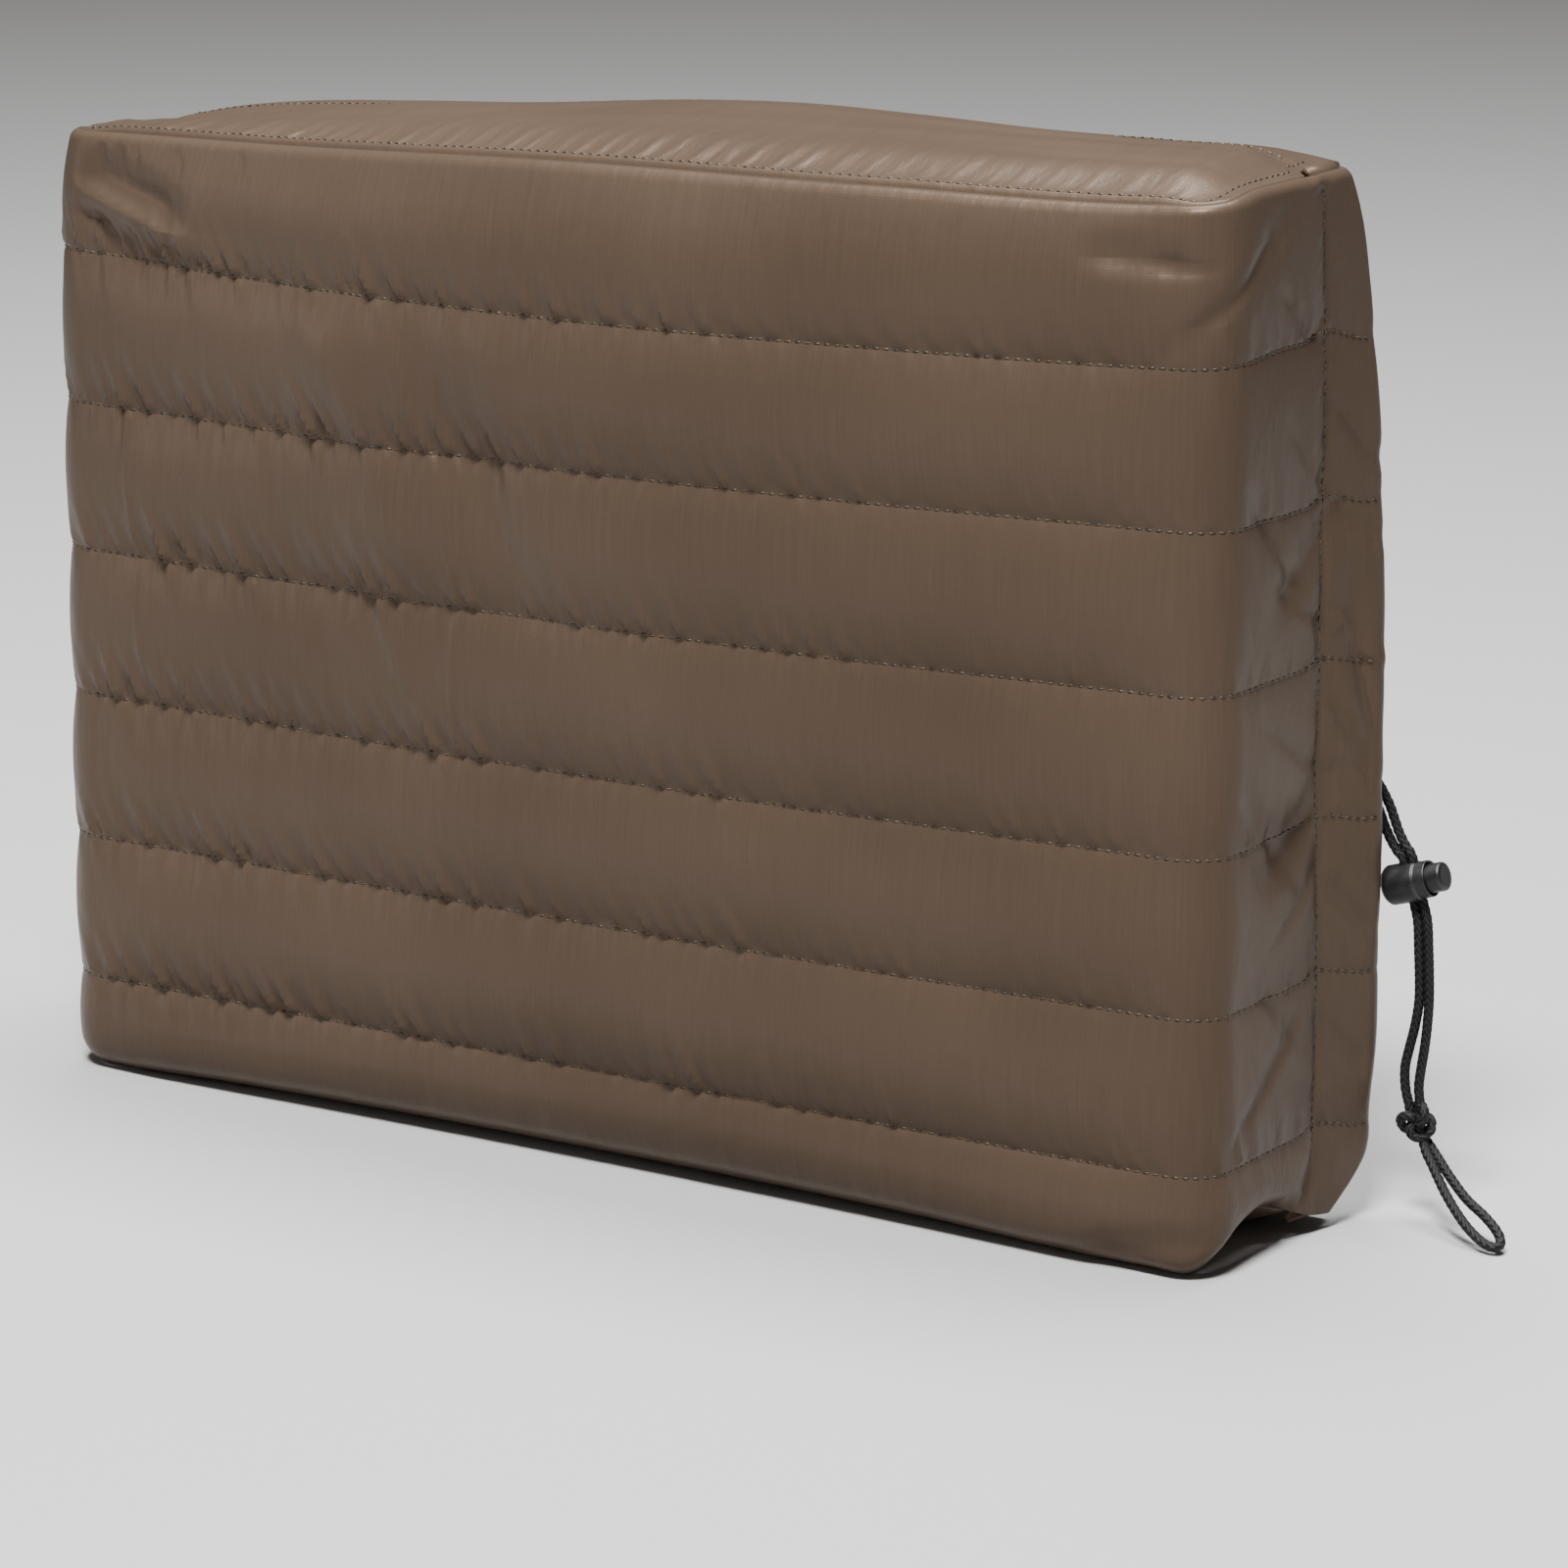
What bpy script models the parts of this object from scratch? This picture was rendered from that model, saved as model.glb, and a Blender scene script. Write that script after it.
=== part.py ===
# Fitted quilted cover for the indoor side of a window air conditioner, with a drawstring round its open back.
# Metres, +Z up. The front of the cover faces -Y and the open back faces +Y. The origin is at the middle of the
# top panel's underside, where the cover rests on the top of the air conditioner.
# The form is worked out above a floor at height 0 with the front plane at depth 0, and moved to the origin last.

import math

import bmesh
import bpy
import numpy as np
from mathutils import Matrix, Vector

# Cloth sizes
WIDTH = 0.436  # between the outer faces of the two side walls, at the front
HEIGHT = 0.330  # from the bottom edge to the top seam
SIDE = 0.062  # from the front plane to the casing stitch, on the side walls
CASING = 0.0235  # width of the folded hem that carries the drawstring
SHEET = 0.0022  # thickness of the quilted cloth at a stitch line
PUFF = 0.0026  # how far the filling stands out between two stitch lines
PINCHED_PUFF = 0.0009  # the same on the folded hem
CORNER_RADIUS = 0.015
SIDE_LEAN = math.radians(3.5)  # the side walls lean outwards to the back
SEAM_GAP = 0.0015  # left between the cloth panels at the top seam
BOTTOM_SEAM_GAP = 0.0022  # the same at the bottom, where the wall's edge leans in

# Quilting
PITCH = 0.05025
FIRST_LINE = 0.0323  # height of the lowest stitch line
LINES = 6

# Hem and edges
FOLD_RADIUS = 0.0039  # outer radius of the folded back edge
PINCHED_FOLD = 0.0025  # the same at the seams with the top and the bottom
RETURN = 0.0185  # how far the hem comes back inside
HEM_BEND = 0.010  # length over which the wall turns into the flared hem
BOTTOM_CURL = 0.009  # radius with which the wall rolls under at the bottom
TOP_ROLL = 0.0030  # radius of the rolled top edge at the seam
TOP_ROLL_ANGLE = math.radians(75)

# Drawstring and cord lock
CORD = 0.0027  # diameter
LOCK_TILT = math.radians(17)  # the lock's axis rises to the right by this much
LOCK_CENTRE = Vector((0.2378, 0.0953, 0.1084))
BARREL_LENGTH = 0.0155
BARREL_RADIUS = 0.0064
BORE_RADIUS = 0.0050
BARREL_FLOOR = 0.0012  # thickness of the closed end
BUTTON_RADIUS = 0.00465
BUTTON_OUT = 0.0050  # how far the button stands out at rest
BUTTON_TRAVEL = 0.0026
RUNNING_GAP = 0.00035  # round the strands and behind the pressed button
STRAND_SPACING = 0.0032  # between the two strands, along the lock's axis
STRAND_PLACE = 0.0090  # from the closed end to the middle of the two strands
KNOT_CENTRE = Vector((0.2430, 0.0945, 0.0308))
KNOT_RADII = (0.0059, 0.0052, 0.0061)

# Where the part's origin is, above the floor and behind the front plane
ORIGIN = Vector((0.0, 0.040, 0.3315))

# How the wall departs from a straight box, by height: flare of the hem in degrees, how far the
# casing stitch stands back or forward, how long the hem is against its usual width, and how far
# the left end of the front stands out.
# height, right_flare, left_flare, stitch_shift, hem_share, left_out
WALL = (
    (0.000, 12.0, 10.0, -0.0060, 0.66, 0.0085),
    (0.012, 14.0, 11.0, 0.0000, 0.90, 0.0085),
    (0.045, 17.0, 12.0, 0.0030, 1.00, 0.0085),
    (0.110, 21.0, 14.0, 0.0020, 1.00, 0.0078),
    (0.157, 26.0, 17.0, 0.0000, 1.00, 0.0072),
    (0.205, 20.0, 19.0, 0.0000, 1.00, 0.0068),
    (0.262, 12.0, 14.0, 0.0000, 0.98, 0.0058),
    (0.300, 5.0, 8.0, -0.0020, 0.94, 0.0044),
    (0.318, 0.0, 4.0, -0.0030, 0.87, 0.0030),
    (0.330, -4.0, 2.0, -0.0040, 0.74, 0.0016),
)
# Bulge of the front panel beyond the front plane, by height
# height, bulge
FRONT_BULGE = (
    (0.000, -0.006),
    (0.032, 0.001),
    (0.083, 0.004),
    (0.133, 0.008),
    (0.183, 0.012),
    (0.233, 0.016),
    (0.284, 0.019),
    (0.330, 0.013),
)
# How far the top seam, the uppermost stitch line and the bottom edge lie above their usual levels,
# by the place along the wall from the middle of the front
# along, seam_rise, line_rise, bottom_rise
LEVELS = (
    (-0.300, -0.0100, 0.0000, 0.0050),
    (-0.285, -0.0108, 0.0000, 0.0040),
    (-0.262, -0.0118, 0.0010, 0.0040),
    (-0.245, -0.0100, 0.0012, 0.0030),
    (-0.226, -0.0062, 0.0015, 0.0010),
    (-0.205, -0.0055, 0.0012, 0.0000),
    (-0.120, -0.0035, -0.0010, 0.0000),
    (-0.010, 0.0000, -0.0020, 0.0000),
    (0.100, 0.0000, -0.0020, 0.0000),
    (0.195, 0.0003, -0.0015, -0.0008),
    (0.215, 0.0015, -0.0010, 0.0000),
    (0.230, 0.0038, 0.0000, 0.0085),
    (0.245, 0.0042, 0.0010, 0.0122),
    (0.258, 0.0042, 0.0010, 0.0108),
    (0.275, 0.0042, 0.0010, 0.0050),
    (0.288, 0.0042, 0.0000, 0.0040),
    (0.300, 0.0025, 0.0000, 0.0060),
)
# Height of the top panel's back edge above the top seam's usual level, and how full the panel is
# place_across, back_rise, fullness
TOP_BACK = (
    (-0.222, -0.0090, 0.10),
    (-0.201, -0.0052, 0.20),
    (-0.185, -0.0031, 0.30),
    (-0.125, 0.0011, 0.55),
    (-0.072, 0.0034, 0.80),
    (-0.004, 0.0085, 0.90),
    (0.022, 0.0096, 0.90),
    (0.072, 0.0088, 0.90),
    (0.117, 0.0072, 0.90),
    (0.160, 0.0070, 0.85),
    (0.200, 0.0068, 0.70),
    (0.218, 0.0042, 0.50),
)
# Main creases of the front and the side walls, as soft ridges (rise above 0) and troughs (below 0).
# Places are along the wall from the middle of the front, and heights above the floor.
# along_1, height_1, along_2, height_2, half_width, rise
CREASES = (
    (-0.212, 0.318, -0.165, 0.304, 0.0085, -0.0060),
    (-0.215, 0.309, -0.150, 0.292, 0.0050, 0.0025),
    (-0.216, 0.303, -0.185, 0.286, 0.0045, -0.0035),
    (0.150, 0.316, 0.207, 0.313, 0.0050, -0.0030),
    (0.197, 0.292, 0.250, 0.322, 0.0050, -0.0022),
    (-0.100, 0.276, -0.062, 0.190, 0.0120, 0.0022),
    (-0.060, 0.275, -0.020, 0.185, 0.0110, -0.0022),
    (0.245, 0.205, 0.285, 0.232, 0.0070, -0.0020),
    (0.240, 0.120, 0.288, 0.150, 0.0070, -0.0022),
    (0.180, 0.006, 0.215, 0.012, 0.0040, -0.0018),
)

# Mesh steps
FRONT_STEPS = 9  # from the middle of the front to a corner
CORNER_STEPS = 4
SIDE_STEPS = 3
CASING_STEPS = 3
FOLD_STEPS = 4
CHANNEL_STATIONS = (0.0, 0.14, 0.5, 0.86)
TOP_STEPS_ACROSS = 18
BOTTOM_STEPS_ACROSS = 14


def clear_scene():
    for obj in list(bpy.data.objects):
        bpy.data.objects.remove(obj, do_unlink=True)


def material(name, colour, roughness, metallic=0.0):
    made = bpy.data.materials.new(name)
    made.use_nodes = True
    shader = made.node_tree.nodes["Principled BSDF"]
    shader.inputs["Base Color"].default_value = (*colour, 1.0)
    shader.inputs["Roughness"].default_value = roughness
    shader.inputs["Metallic"].default_value = metallic
    return made


def smooth(value):
    """A soft step from 0 to 1."""
    value = np.clip(value, 0.0, 1.0)
    return value * value * (3.0 - 2.0 * value)


def through(table, column, at):
    """The value in a column of a table at a place between its rows, on a smooth curve through them."""
    places = np.array([row[0] for row in table])
    values = np.array([row[column] for row in table])
    slopes = np.gradient(values, places)
    at = np.clip(at, places[0], places[-1])
    i = np.clip(np.searchsorted(places, at) - 1, 0, len(places) - 2)
    step = places[i + 1] - places[i]
    t = (at - places[i]) / step
    start = values[i] * (1 + 2 * t) * (1 - t) ** 2 + step * slopes[i] * t * (1 - t) ** 2
    end = values[i + 1] * t * t * (3 - 2 * t) + step * slopes[i + 1] * t * t * (t - 1)
    return start + end


def line_height(index):
    """Height of a stitch line, counted from the lowest."""
    return FIRST_LINE + PITCH * index


def channel_puff(height):
    """0 at a stitch line or seam and 1 in the middle of a sewn channel."""
    edges = np.array([0.0] + [line_height(i) for i in range(LINES)] + [HEIGHT])
    i = np.clip(np.searchsorted(edges, height, side="right") - 1, 0, LINES)
    t = (height - edges[i]) / (edges[i + 1] - edges[i])
    return np.sin(math.pi * np.clip(t, 0.0, 1.0)) ** 0.7


def crease_rise(along, height):
    """How far the main creases lift or sink the wall."""
    total = np.zeros_like(along)
    for along_1, height_1, along_2, height_2, half_width, rise in CREASES:
        run = np.array([along_2 - along_1, height_2 - height_1])
        length = np.hypot(*run)
        run = run / length
        forward = (along - along_1) * run[0] + (height - height_1) * run[1]
        beside = (along - along_1) * run[1] - (height - height_1) * run[0]
        reach = smooth(1.5 - np.abs(forward / length - 0.5) * 2.0)
        total += rise * reach * np.exp(-((beside / half_width) ** 2))
    return total


def wall_rows():
    """(height, roll_in) for each row of the wall: height above the floor, and how far it rolls inwards there."""
    rows = []
    for angle in np.radians((90.0, 60.0, 30.0, 0.0)):
        rows.append((BOTTOM_CURL * (1 - math.sin(angle)), BOTTOM_CURL * (1 - math.cos(angle))))
    rows.append((0.5 * (BOTTOM_CURL + FIRST_LINE), 0.0))
    rows.append((FIRST_LINE - 0.14 * PITCH, 0.0))
    for line in range(LINES):
        start = line_height(line)
        length = (line_height(line + 1) if line < LINES - 1 else HEIGHT - TOP_ROLL) - start
        rows += [(start + length * station, 0.0) for station in CHANNEL_STATIONS]
    for angle in np.linspace(0.0, TOP_ROLL_ANGLE, 3):
        rows.append((HEIGHT - TOP_ROLL * (1 - math.sin(angle)), TOP_ROLL * (1 - math.cos(angle))))
    return rows


def half_lengths():
    """Lengths along one half of the wall: half the front, the corner, and the side up to the casing stitch."""
    front = WIDTH / 2 - CORNER_RADIUS
    corner = CORNER_RADIUS * (math.pi / 2 - SIDE_LEAN)
    return front, corner, SIDE - CORNER_RADIUS


def half_plan(height, flare_column):
    """One half of the wall at a height, seen from above: places along it, points, headings and hem width."""
    front, corner, side = half_lengths()
    flare = math.radians(float(through(WALL, flare_column, height)))
    side = side + float(through(WALL, 3, height))
    hem = CASING * float(through(WALL, 4, height))
    stitch = front + corner + side
    stretches = (
        (0.0, front, FRONT_STEPS),
        (front, front + corner, CORNER_STEPS),
        (front + corner, stitch, SIDE_STEPS),
        (stitch, stitch + hem, CASING_STEPS),
    )
    stations = [0.0]
    for start, end, steps in stretches:
        stations += [start + (end - start) * (k + 1) / steps for k in range(steps)]
    stations = np.array(stations)
    fine = np.linspace(0.0, stitch + hem, 1201)
    turned = np.clip((fine - front) / corner, 0.0, 1.0) * (math.pi / 2 - SIDE_LEAN)
    heading = turned - flare * smooth((fine - stitch + HEM_BEND / 2) / HEM_BEND)
    step = fine[1] - fine[0]
    middle = 0.5 * (heading[1:] + heading[:-1])
    x = np.concatenate([[0.0], np.cumsum(np.cos(middle)) * step])
    y = np.concatenate([[0.0], np.cumsum(np.sin(middle)) * step])
    return (
        stations,
        np.interp(stations, fine, x),
        np.interp(stations, fine, y),
        np.interp(stations, fine, heading),
        stitch,
    )


def front_bulge(x, height):
    across = np.clip(np.abs(x) / (WIDTH / 2), 0.0, 1.0)
    return through(FRONT_BULGE, 1, height) * np.cos(across * math.pi / 2) ** 1.3


def fold_radius(height):
    """Outer radius of the folded back edge: full along the wall and pinched at both seams."""
    from_end = np.minimum(height, HEIGHT - height)
    return PINCHED_FOLD + (FOLD_RADIUS - PINCHED_FOLD) * smooth(from_end / 0.022)


def fold_back(end, along, inwards, radius, length):
    """Points of a hem from its back edge: round the fold, then back along the inside."""
    points = []
    for k in range(1, FOLD_STEPS + 1):
        angle = math.pi * k / FOLD_STEPS
        points.append(end + along * radius * math.sin(angle) + inwards * radius * (1 - math.cos(angle)))
    turned = end + inwards * 2 * radius
    for share in (0.4, 0.8):
        points.append(turned - along * length * share)
    closing = inwards * -(2 * radius - 2 * SHEET - 0.0004) * 0.55
    points.append(turned - along * length + closing)
    return points


def wall_half_row(height, roll_in, side):
    """Points of one half of a row, from the middle of the front to the end of the hem's return."""
    flare_column = 1 if side > 0 else 2
    stations, x, y, heading, stitch = half_plan(height, flare_column)
    along_wall = stations * side
    on_hem = smooth((stations - stitch + HEM_BEND) / HEM_BEND)
    puff = channel_puff(height) * (PUFF + (PINCHED_PUFF - PUFF) * on_hem)
    low = height < BOTTOM_CURL
    inset = roll_in * (1 - on_hem) if low else roll_in
    if low and side < 0:
        inset = inset * (1 - 0.4 * smooth((stations - 0.15) / 0.05))
    out = puff + crease_rise(along_wall, height) * (1 - 0.6 * on_hem) - inset
    px = x + np.sin(heading) * out
    py = y - np.cos(heading) * out - front_bulge(x, height)
    if side < 0:
        px = px + through(WALL, 5, height) * smooth(px / (WIDTH / 2))
    to_line = smooth((height - line_height(LINES - 2)) / PITCH)
    to_top = smooth((height - line_height(LINES - 1)) / (HEIGHT - line_height(LINES - 1)))
    to_bottom = smooth(1 - height / FIRST_LINE)
    rise = through(LEVELS, 1, along_wall) * to_top + through(LEVELS, 2, along_wall) * to_line * (1 - to_top)
    rise = rise + through(LEVELS, 3, along_wall) * to_bottom
    sag = 0.0022 * on_hem * (1 - smooth((stations - stitch) / (CASING * 0.9)) * 1.6)
    inside = smooth(height / 0.03) * smooth((HEIGHT - height) / 0.03)
    pz = height + rise + sag * inside
    outer = [Vector(p) for p in zip(px, py, pz)]
    along = Vector((math.cos(heading[-1]), math.sin(heading[-1]), 0.0))
    inwards = Vector((-math.sin(heading[-1]), math.cos(heading[-1]), 0.0))
    hem = fold_back(outer[-1], along, inwards, float(fold_radius(height)), RETURN * (0.86 if low else 1.0))
    row = outer + hem
    return [Vector((p.x * side, p.y, p.z)) for p in row]


def grid_sheet(name, rows, finish, thickness=SHEET):
    """A sheet through rows of points, each running left to right as seen from outside, with its thickness inwards."""
    across = len(rows[0]) - 1
    up = len(rows) - 1
    shape = bmesh.new()
    bmesh.ops.create_grid(shape, x_segments=across, y_segments=up, size=1.0)
    for vertex in shape.verts:
        i = round((vertex.co.x + 1) / 2 * across)
        j = round((vertex.co.y + 1) / 2 * up)
        vertex.co = rows[j][i] - ORIGIN
    mesh = bpy.data.meshes.new(name)
    shape.to_mesh(mesh)
    shape.free()
    mesh.materials.append(finish)
    mesh.shade_smooth()
    sheet = bpy.data.objects.new(name, mesh)
    bpy.context.collection.objects.link(sheet)
    solid = sheet.modifiers.new("thickness", "SOLIDIFY")
    solid.thickness = thickness
    solid.offset = -1.0
    solid.use_quality_normals = True
    return sheet


def build_wall(finish):
    """The one quilted piece that makes the front and both sides, with its hem folded at the back."""
    rows = []
    for height, roll_in in wall_rows():
        left = wall_half_row(height, roll_in, -1)
        right = wall_half_row(height, roll_in, 1)
        rows.append(left[::-1] + right[1:])
    return grid_sheet("front_and_side_panel", rows, finish)


class SeamOutline:
    """The wall's edge at a seam, seen from above and drawn in by the seam's gap, for the panel sewn in there."""

    def __init__(self, height, roll_in, seam_gap):
        self.middle = FRONT_STEPS + CORNER_STEPS // 2
        self.halves = {}
        for side in (-1, 1):
            row = wall_half_row(height, roll_in, side)[: FRONT_STEPS + CORNER_STEPS + SIDE_STEPS + CASING_STEPS + 1]
            x = np.array([abs(p.x) for p in row])
            y = np.array([p.y for p in row])
            run_x, run_y = np.gradient(x), np.gradient(y)
            length = np.hypot(run_x, run_y)
            stations = half_plan(height, 1 if side > 0 else 2)[0]
            self.halves[side] = (x - run_y / length * seam_gap, y + run_x / length * seam_gap, stations)

    def front(self, x):
        """Depth of the panel's front edge at a place across, as far as the middle of the corner."""
        places, depths, _ = self.halves[1 if x >= 0 else -1]
        return float(np.interp(abs(x), places[: self.middle + 1], depths[: self.middle + 1]))

    def half_width(self, side, depth):
        """Half width of the panel at a depth: from the middle of the corner, along the side, then inside the hem."""
        places, depths, _ = self.halves[side]
        edge = float(np.interp(depth, depths[self.middle :], places[self.middle :]))
        return edge - 2 * PINCHED_FOLD * float(smooth((depth - SIDE + 0.018) / 0.008))

    def level(self, column, share, x, depth):
        """Rise of the seam's level, read along the front and, towards each side, along that side too."""
        side = 1 if x >= 0 else -1
        places, _, stations = self.halves[side]
        along = float(np.interp(abs(x), places[: self.middle + 1], stations[: self.middle + 1]))
        level = float(through(LEVELS, column, side * along))
        for side in (-1, 1):
            _, depths, stations = self.halves[side]
            beside = float(np.interp(depth, depths[self.middle :], stations[self.middle :]))
            past_corner = through(LEVELS, column, side * beside) - through(LEVELS, column, side * stations[self.middle])
            level += float(past_corner) * ((1 + side * share) / 2) ** 4
        return level


def shares_across(steps):
    """Places across a panel as shares of its half width, closer together round the two front corners."""
    between = list(np.linspace(-0.9, 0.9, steps + 1))
    corner = [0.94, 0.97, 0.99, 1.0]
    return [-share for share in corner[::-1]] + between + corner


def sewn_panel(name, finish, outline, shares, depth_shares, back, height_at, hem_of, turned_over):
    """A panel sewn in at a seam, with its hem folded at the back. Columns run from the front edge to the hem's end."""
    columns = []
    for share in shares:
        side = 1 if share >= 0 else -1
        points = []
        for depth_share in depth_shares:
            x = share * WIDTH / 2
            for _ in range(4):
                front = outline.front(x)
                depth = front + (back - front) * depth_share
                x = share * outline.half_width(side, depth)
            points.append(Vector((x, depth, height_at(outline, share, x, depth, depth_share))))
        along = (points[-1] - points[-2]).normalized()
        along = Vector((0.0, along.y, along.z)).normalized()
        inwards = Vector((0.0, along.z, -along.y)) * (-1 if turned_over else 1)
        radius, length = hem_of(share)
        for point in fold_back(points[-1], along, inwards, radius, length):
            points.append(Vector((share * outline.half_width(side, point.y), point.y, point.z)))
        columns.append(points)
    rows = [[column[j] for column in columns] for j in range(len(columns[0]))]
    if turned_over:
        rows = [row[::-1] for row in rows]
    return grid_sheet(name, rows, finish)


def top_height(outline, share, x, depth, depth_share):
    """Height of the top panel: a sloped strip at the seam, a swell beyond its stitches, then a low arch to the back."""
    from_seam = depth - outline.front(x)
    to_side = float(smooth((1 - abs(share)) / 0.10))
    to_back = float(smooth(depth_share / 0.95))
    fullness = float(through(TOP_BACK, 2, x))
    strip = 0.0016 * float(smooth(from_seam / 0.003)) * (1 - to_back)
    swell = 0.0046 * float(smooth((from_seam - 0.003) / 0.016)) * (1 - depth_share) ** 0.5
    arch = 0.0033 * math.sin(math.pi * depth_share) ** 1.2
    level = outline.level(1, share, x, depth)
    level += (float(through(TOP_BACK, 1, x)) - level) * to_back
    edge = HEIGHT - TOP_ROLL * (1 - math.sin(TOP_ROLL_ANGLE))
    return edge + level + (strip + (swell + arch) * fullness) * to_side


def bottom_height(outline, share, x, depth, depth_share):
    """Height of the bottom panel, which its seams pull up a little."""
    return outline.level(3, share, x, depth) * max(abs(share) ** 16, (1 - depth_share) ** 4)


def top_hem(share):
    to_side = float(smooth((1 - abs(share)) / 0.12))
    return PINCHED_FOLD + (FOLD_RADIUS - PINCHED_FOLD) * to_side, RETURN * 0.9


def build_top(finish):
    """The top panel, arched a little, with its own length of the hem at the back."""
    outline = SeamOutline(*wall_rows()[-1], SEAM_GAP)
    shares = shares_across(TOP_STEPS_ACROSS)
    depth_shares = (0.0, 0.03, 0.08, 0.18, 0.35, 0.55, 0.72, 0.81, 0.90, 1.0)
    back = SIDE + CASING - 0.004
    return sewn_panel("top_panel", finish, outline, shares, depth_shares, back, top_height, top_hem, False)


def build_bottom(finish):
    """The bottom panel, flat, with its own length of the hem at the back."""
    outline = SeamOutline(*wall_rows()[0], BOTTOM_SEAM_GAP)
    shares = shares_across(BOTTOM_STEPS_ACROSS)
    depth_shares = (0.0, 0.15, 0.35, 0.48, 0.58, 0.68, 0.8, 0.9, 1.0)
    back = SIDE + CASING - 0.008
    return sewn_panel(
        "bottom_panel",
        finish,
        outline,
        shares,
        depth_shares,
        back,
        bottom_height,
        lambda share: (PINCHED_FOLD, RETURN * 0.8),
        True,
    )


def lock_point(forward, along_slot=0.0):
    """A point of the cord lock: along its axis from the closed end, and along the strands that pass through it."""
    axis = Vector((math.cos(LOCK_TILT), 0.0, math.sin(LOCK_TILT)))
    slot = Vector((-math.sin(LOCK_TILT), 0.0, math.cos(LOCK_TILT)))
    return LOCK_CENTRE + axis * (forward - BARREL_LENGTH / 2) + slot * along_slot


# Route points of the cords, above the floor and behind the front plane: place, depth, height
STRAND_1 = (
    (0.2268, 0.0891, 0.1408),
    (0.2267, 0.0912, 0.1406),
    (0.2268, 0.0938, 0.1392),
    (0.2283, 0.0951, 0.1358),
    (0.2303, 0.0953, 0.1320),
    (0.2319, 0.0953, 0.1282),
    (0.2335, 0.0953, 0.1243),
    (0.2356, 0.0953, 0.1206),
    *(tuple(lock_point(STRAND_PLACE + STRAND_SPACING / 2, place)) for place in (0.0085, 0.0040, -0.0040, -0.0080)),
    (0.2442, 0.0953, 0.0965),
    (0.2449, 0.0953, 0.0880),
    (0.2456, 0.0953, 0.0727),
    (0.2453, 0.0953, 0.0633),
    (0.2446, 0.0953, 0.0553),
    (0.2437, 0.0953, 0.0489),
    (0.2431, 0.0951, 0.0425),
    (0.2437, 0.0948, 0.0374),
)
STRAND_2 = (
    (0.2264, 0.0891, 0.1340),
    (0.2263, 0.0910, 0.1338),
    (0.2264, 0.0935, 0.1325),
    (0.2272, 0.0949, 0.1293),
    (0.2287, 0.0953, 0.1252),
    (0.2311, 0.0953, 0.1208),
    (0.2337, 0.0953, 0.1173),
    *(tuple(lock_point(STRAND_PLACE - STRAND_SPACING / 2, place)) for place in (0.0085, 0.0040, -0.0040, -0.0080)),
    (0.2411, 0.0950, 0.0960),
    (0.2417, 0.0950, 0.0876),
    (0.2424, 0.0950, 0.0722),
    (0.2413, 0.0950, 0.0626),
    (0.2395, 0.0950, 0.0545),
    (0.2382, 0.0950, 0.0480),
    (0.2384, 0.0950, 0.0420),
    (0.2396, 0.0948, 0.0370),
)
LOOP = (
    (0.2460, 0.0938, 0.0240),
    (0.2479, 0.0917, 0.0220),
    (0.2506, 0.0897, 0.0197),
    (0.2541, 0.0870, 0.0165),
    (0.2582, 0.0840, 0.0129),
    (0.2632, 0.0808, 0.0090),
    (0.2682, 0.0781, 0.0056),
    (0.2730, 0.0761, 0.0030),
    (0.2771, 0.0749, 0.0015),
    (0.2800, 0.0751, 0.0012),
    (0.2808, 0.0769, 0.0019),
    (0.2797, 0.0787, 0.0036),
    (0.2768, 0.0805, 0.0058),
    (0.2722, 0.0824, 0.0084),
    (0.2674, 0.0840, 0.0106),
    (0.2632, 0.0859, 0.0128),
    (0.2592, 0.0881, 0.0153),
    (0.2552, 0.0906, 0.0178),
    (0.2515, 0.0934, 0.0200),
    (0.2481, 0.0957, 0.0222),
    (0.2456, 0.0970, 0.0240),
)


def smooth_route(points, spacing):
    """Evenly spaced points on a soft curve through a cord's route points."""
    knots = [Vector(p) for p in points]
    knots = [knots[0] * 2 - knots[1]] + knots + [knots[-1] * 2 - knots[-2]]
    fine = []
    for a, b, c, d in zip(knots, knots[1:], knots[2:], knots[3:]):
        for k in range(12):
            t = k / 12
            fine.append(
                0.5 * (2 * b + (c - a) * t + (2 * a - 5 * b + 4 * c - d) * t * t + (3 * b - a - 3 * c + d) * t**3)
            )
    fine.append(knots[-2])
    places = np.concatenate([[0.0], np.cumsum([(q - p).length for p, q in zip(fine, fine[1:])])])
    count = max(2, round(places[-1] / spacing))
    wanted = np.linspace(0.0, places[-1], count + 1)
    columns = [np.interp(wanted, places, [p[k] for p in fine]) for k in range(3)]
    return [Vector(p) for p in zip(*columns)]


def cord_solid(name, route, finish, spacing=0.0040):
    """A plain round cord with flat ends along a route."""
    points = smooth_route(route, spacing)
    curve = bpy.data.curves.new(name, "CURVE")
    curve.dimensions = "3D"
    curve.bevel_depth = CORD / 2
    curve.bevel_resolution = 2
    curve.use_fill_caps = True
    spline = curve.splines.new("POLY")
    spline.points.add(len(points) - 1)
    for place, point in zip(spline.points, points):
        place.co = (*(point - ORIGIN), 1.0)
    spline.use_smooth = True
    curve.materials.append(finish)
    cord = bpy.data.objects.new(name, curve)
    bpy.context.collection.objects.link(cord)
    return cord


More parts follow.
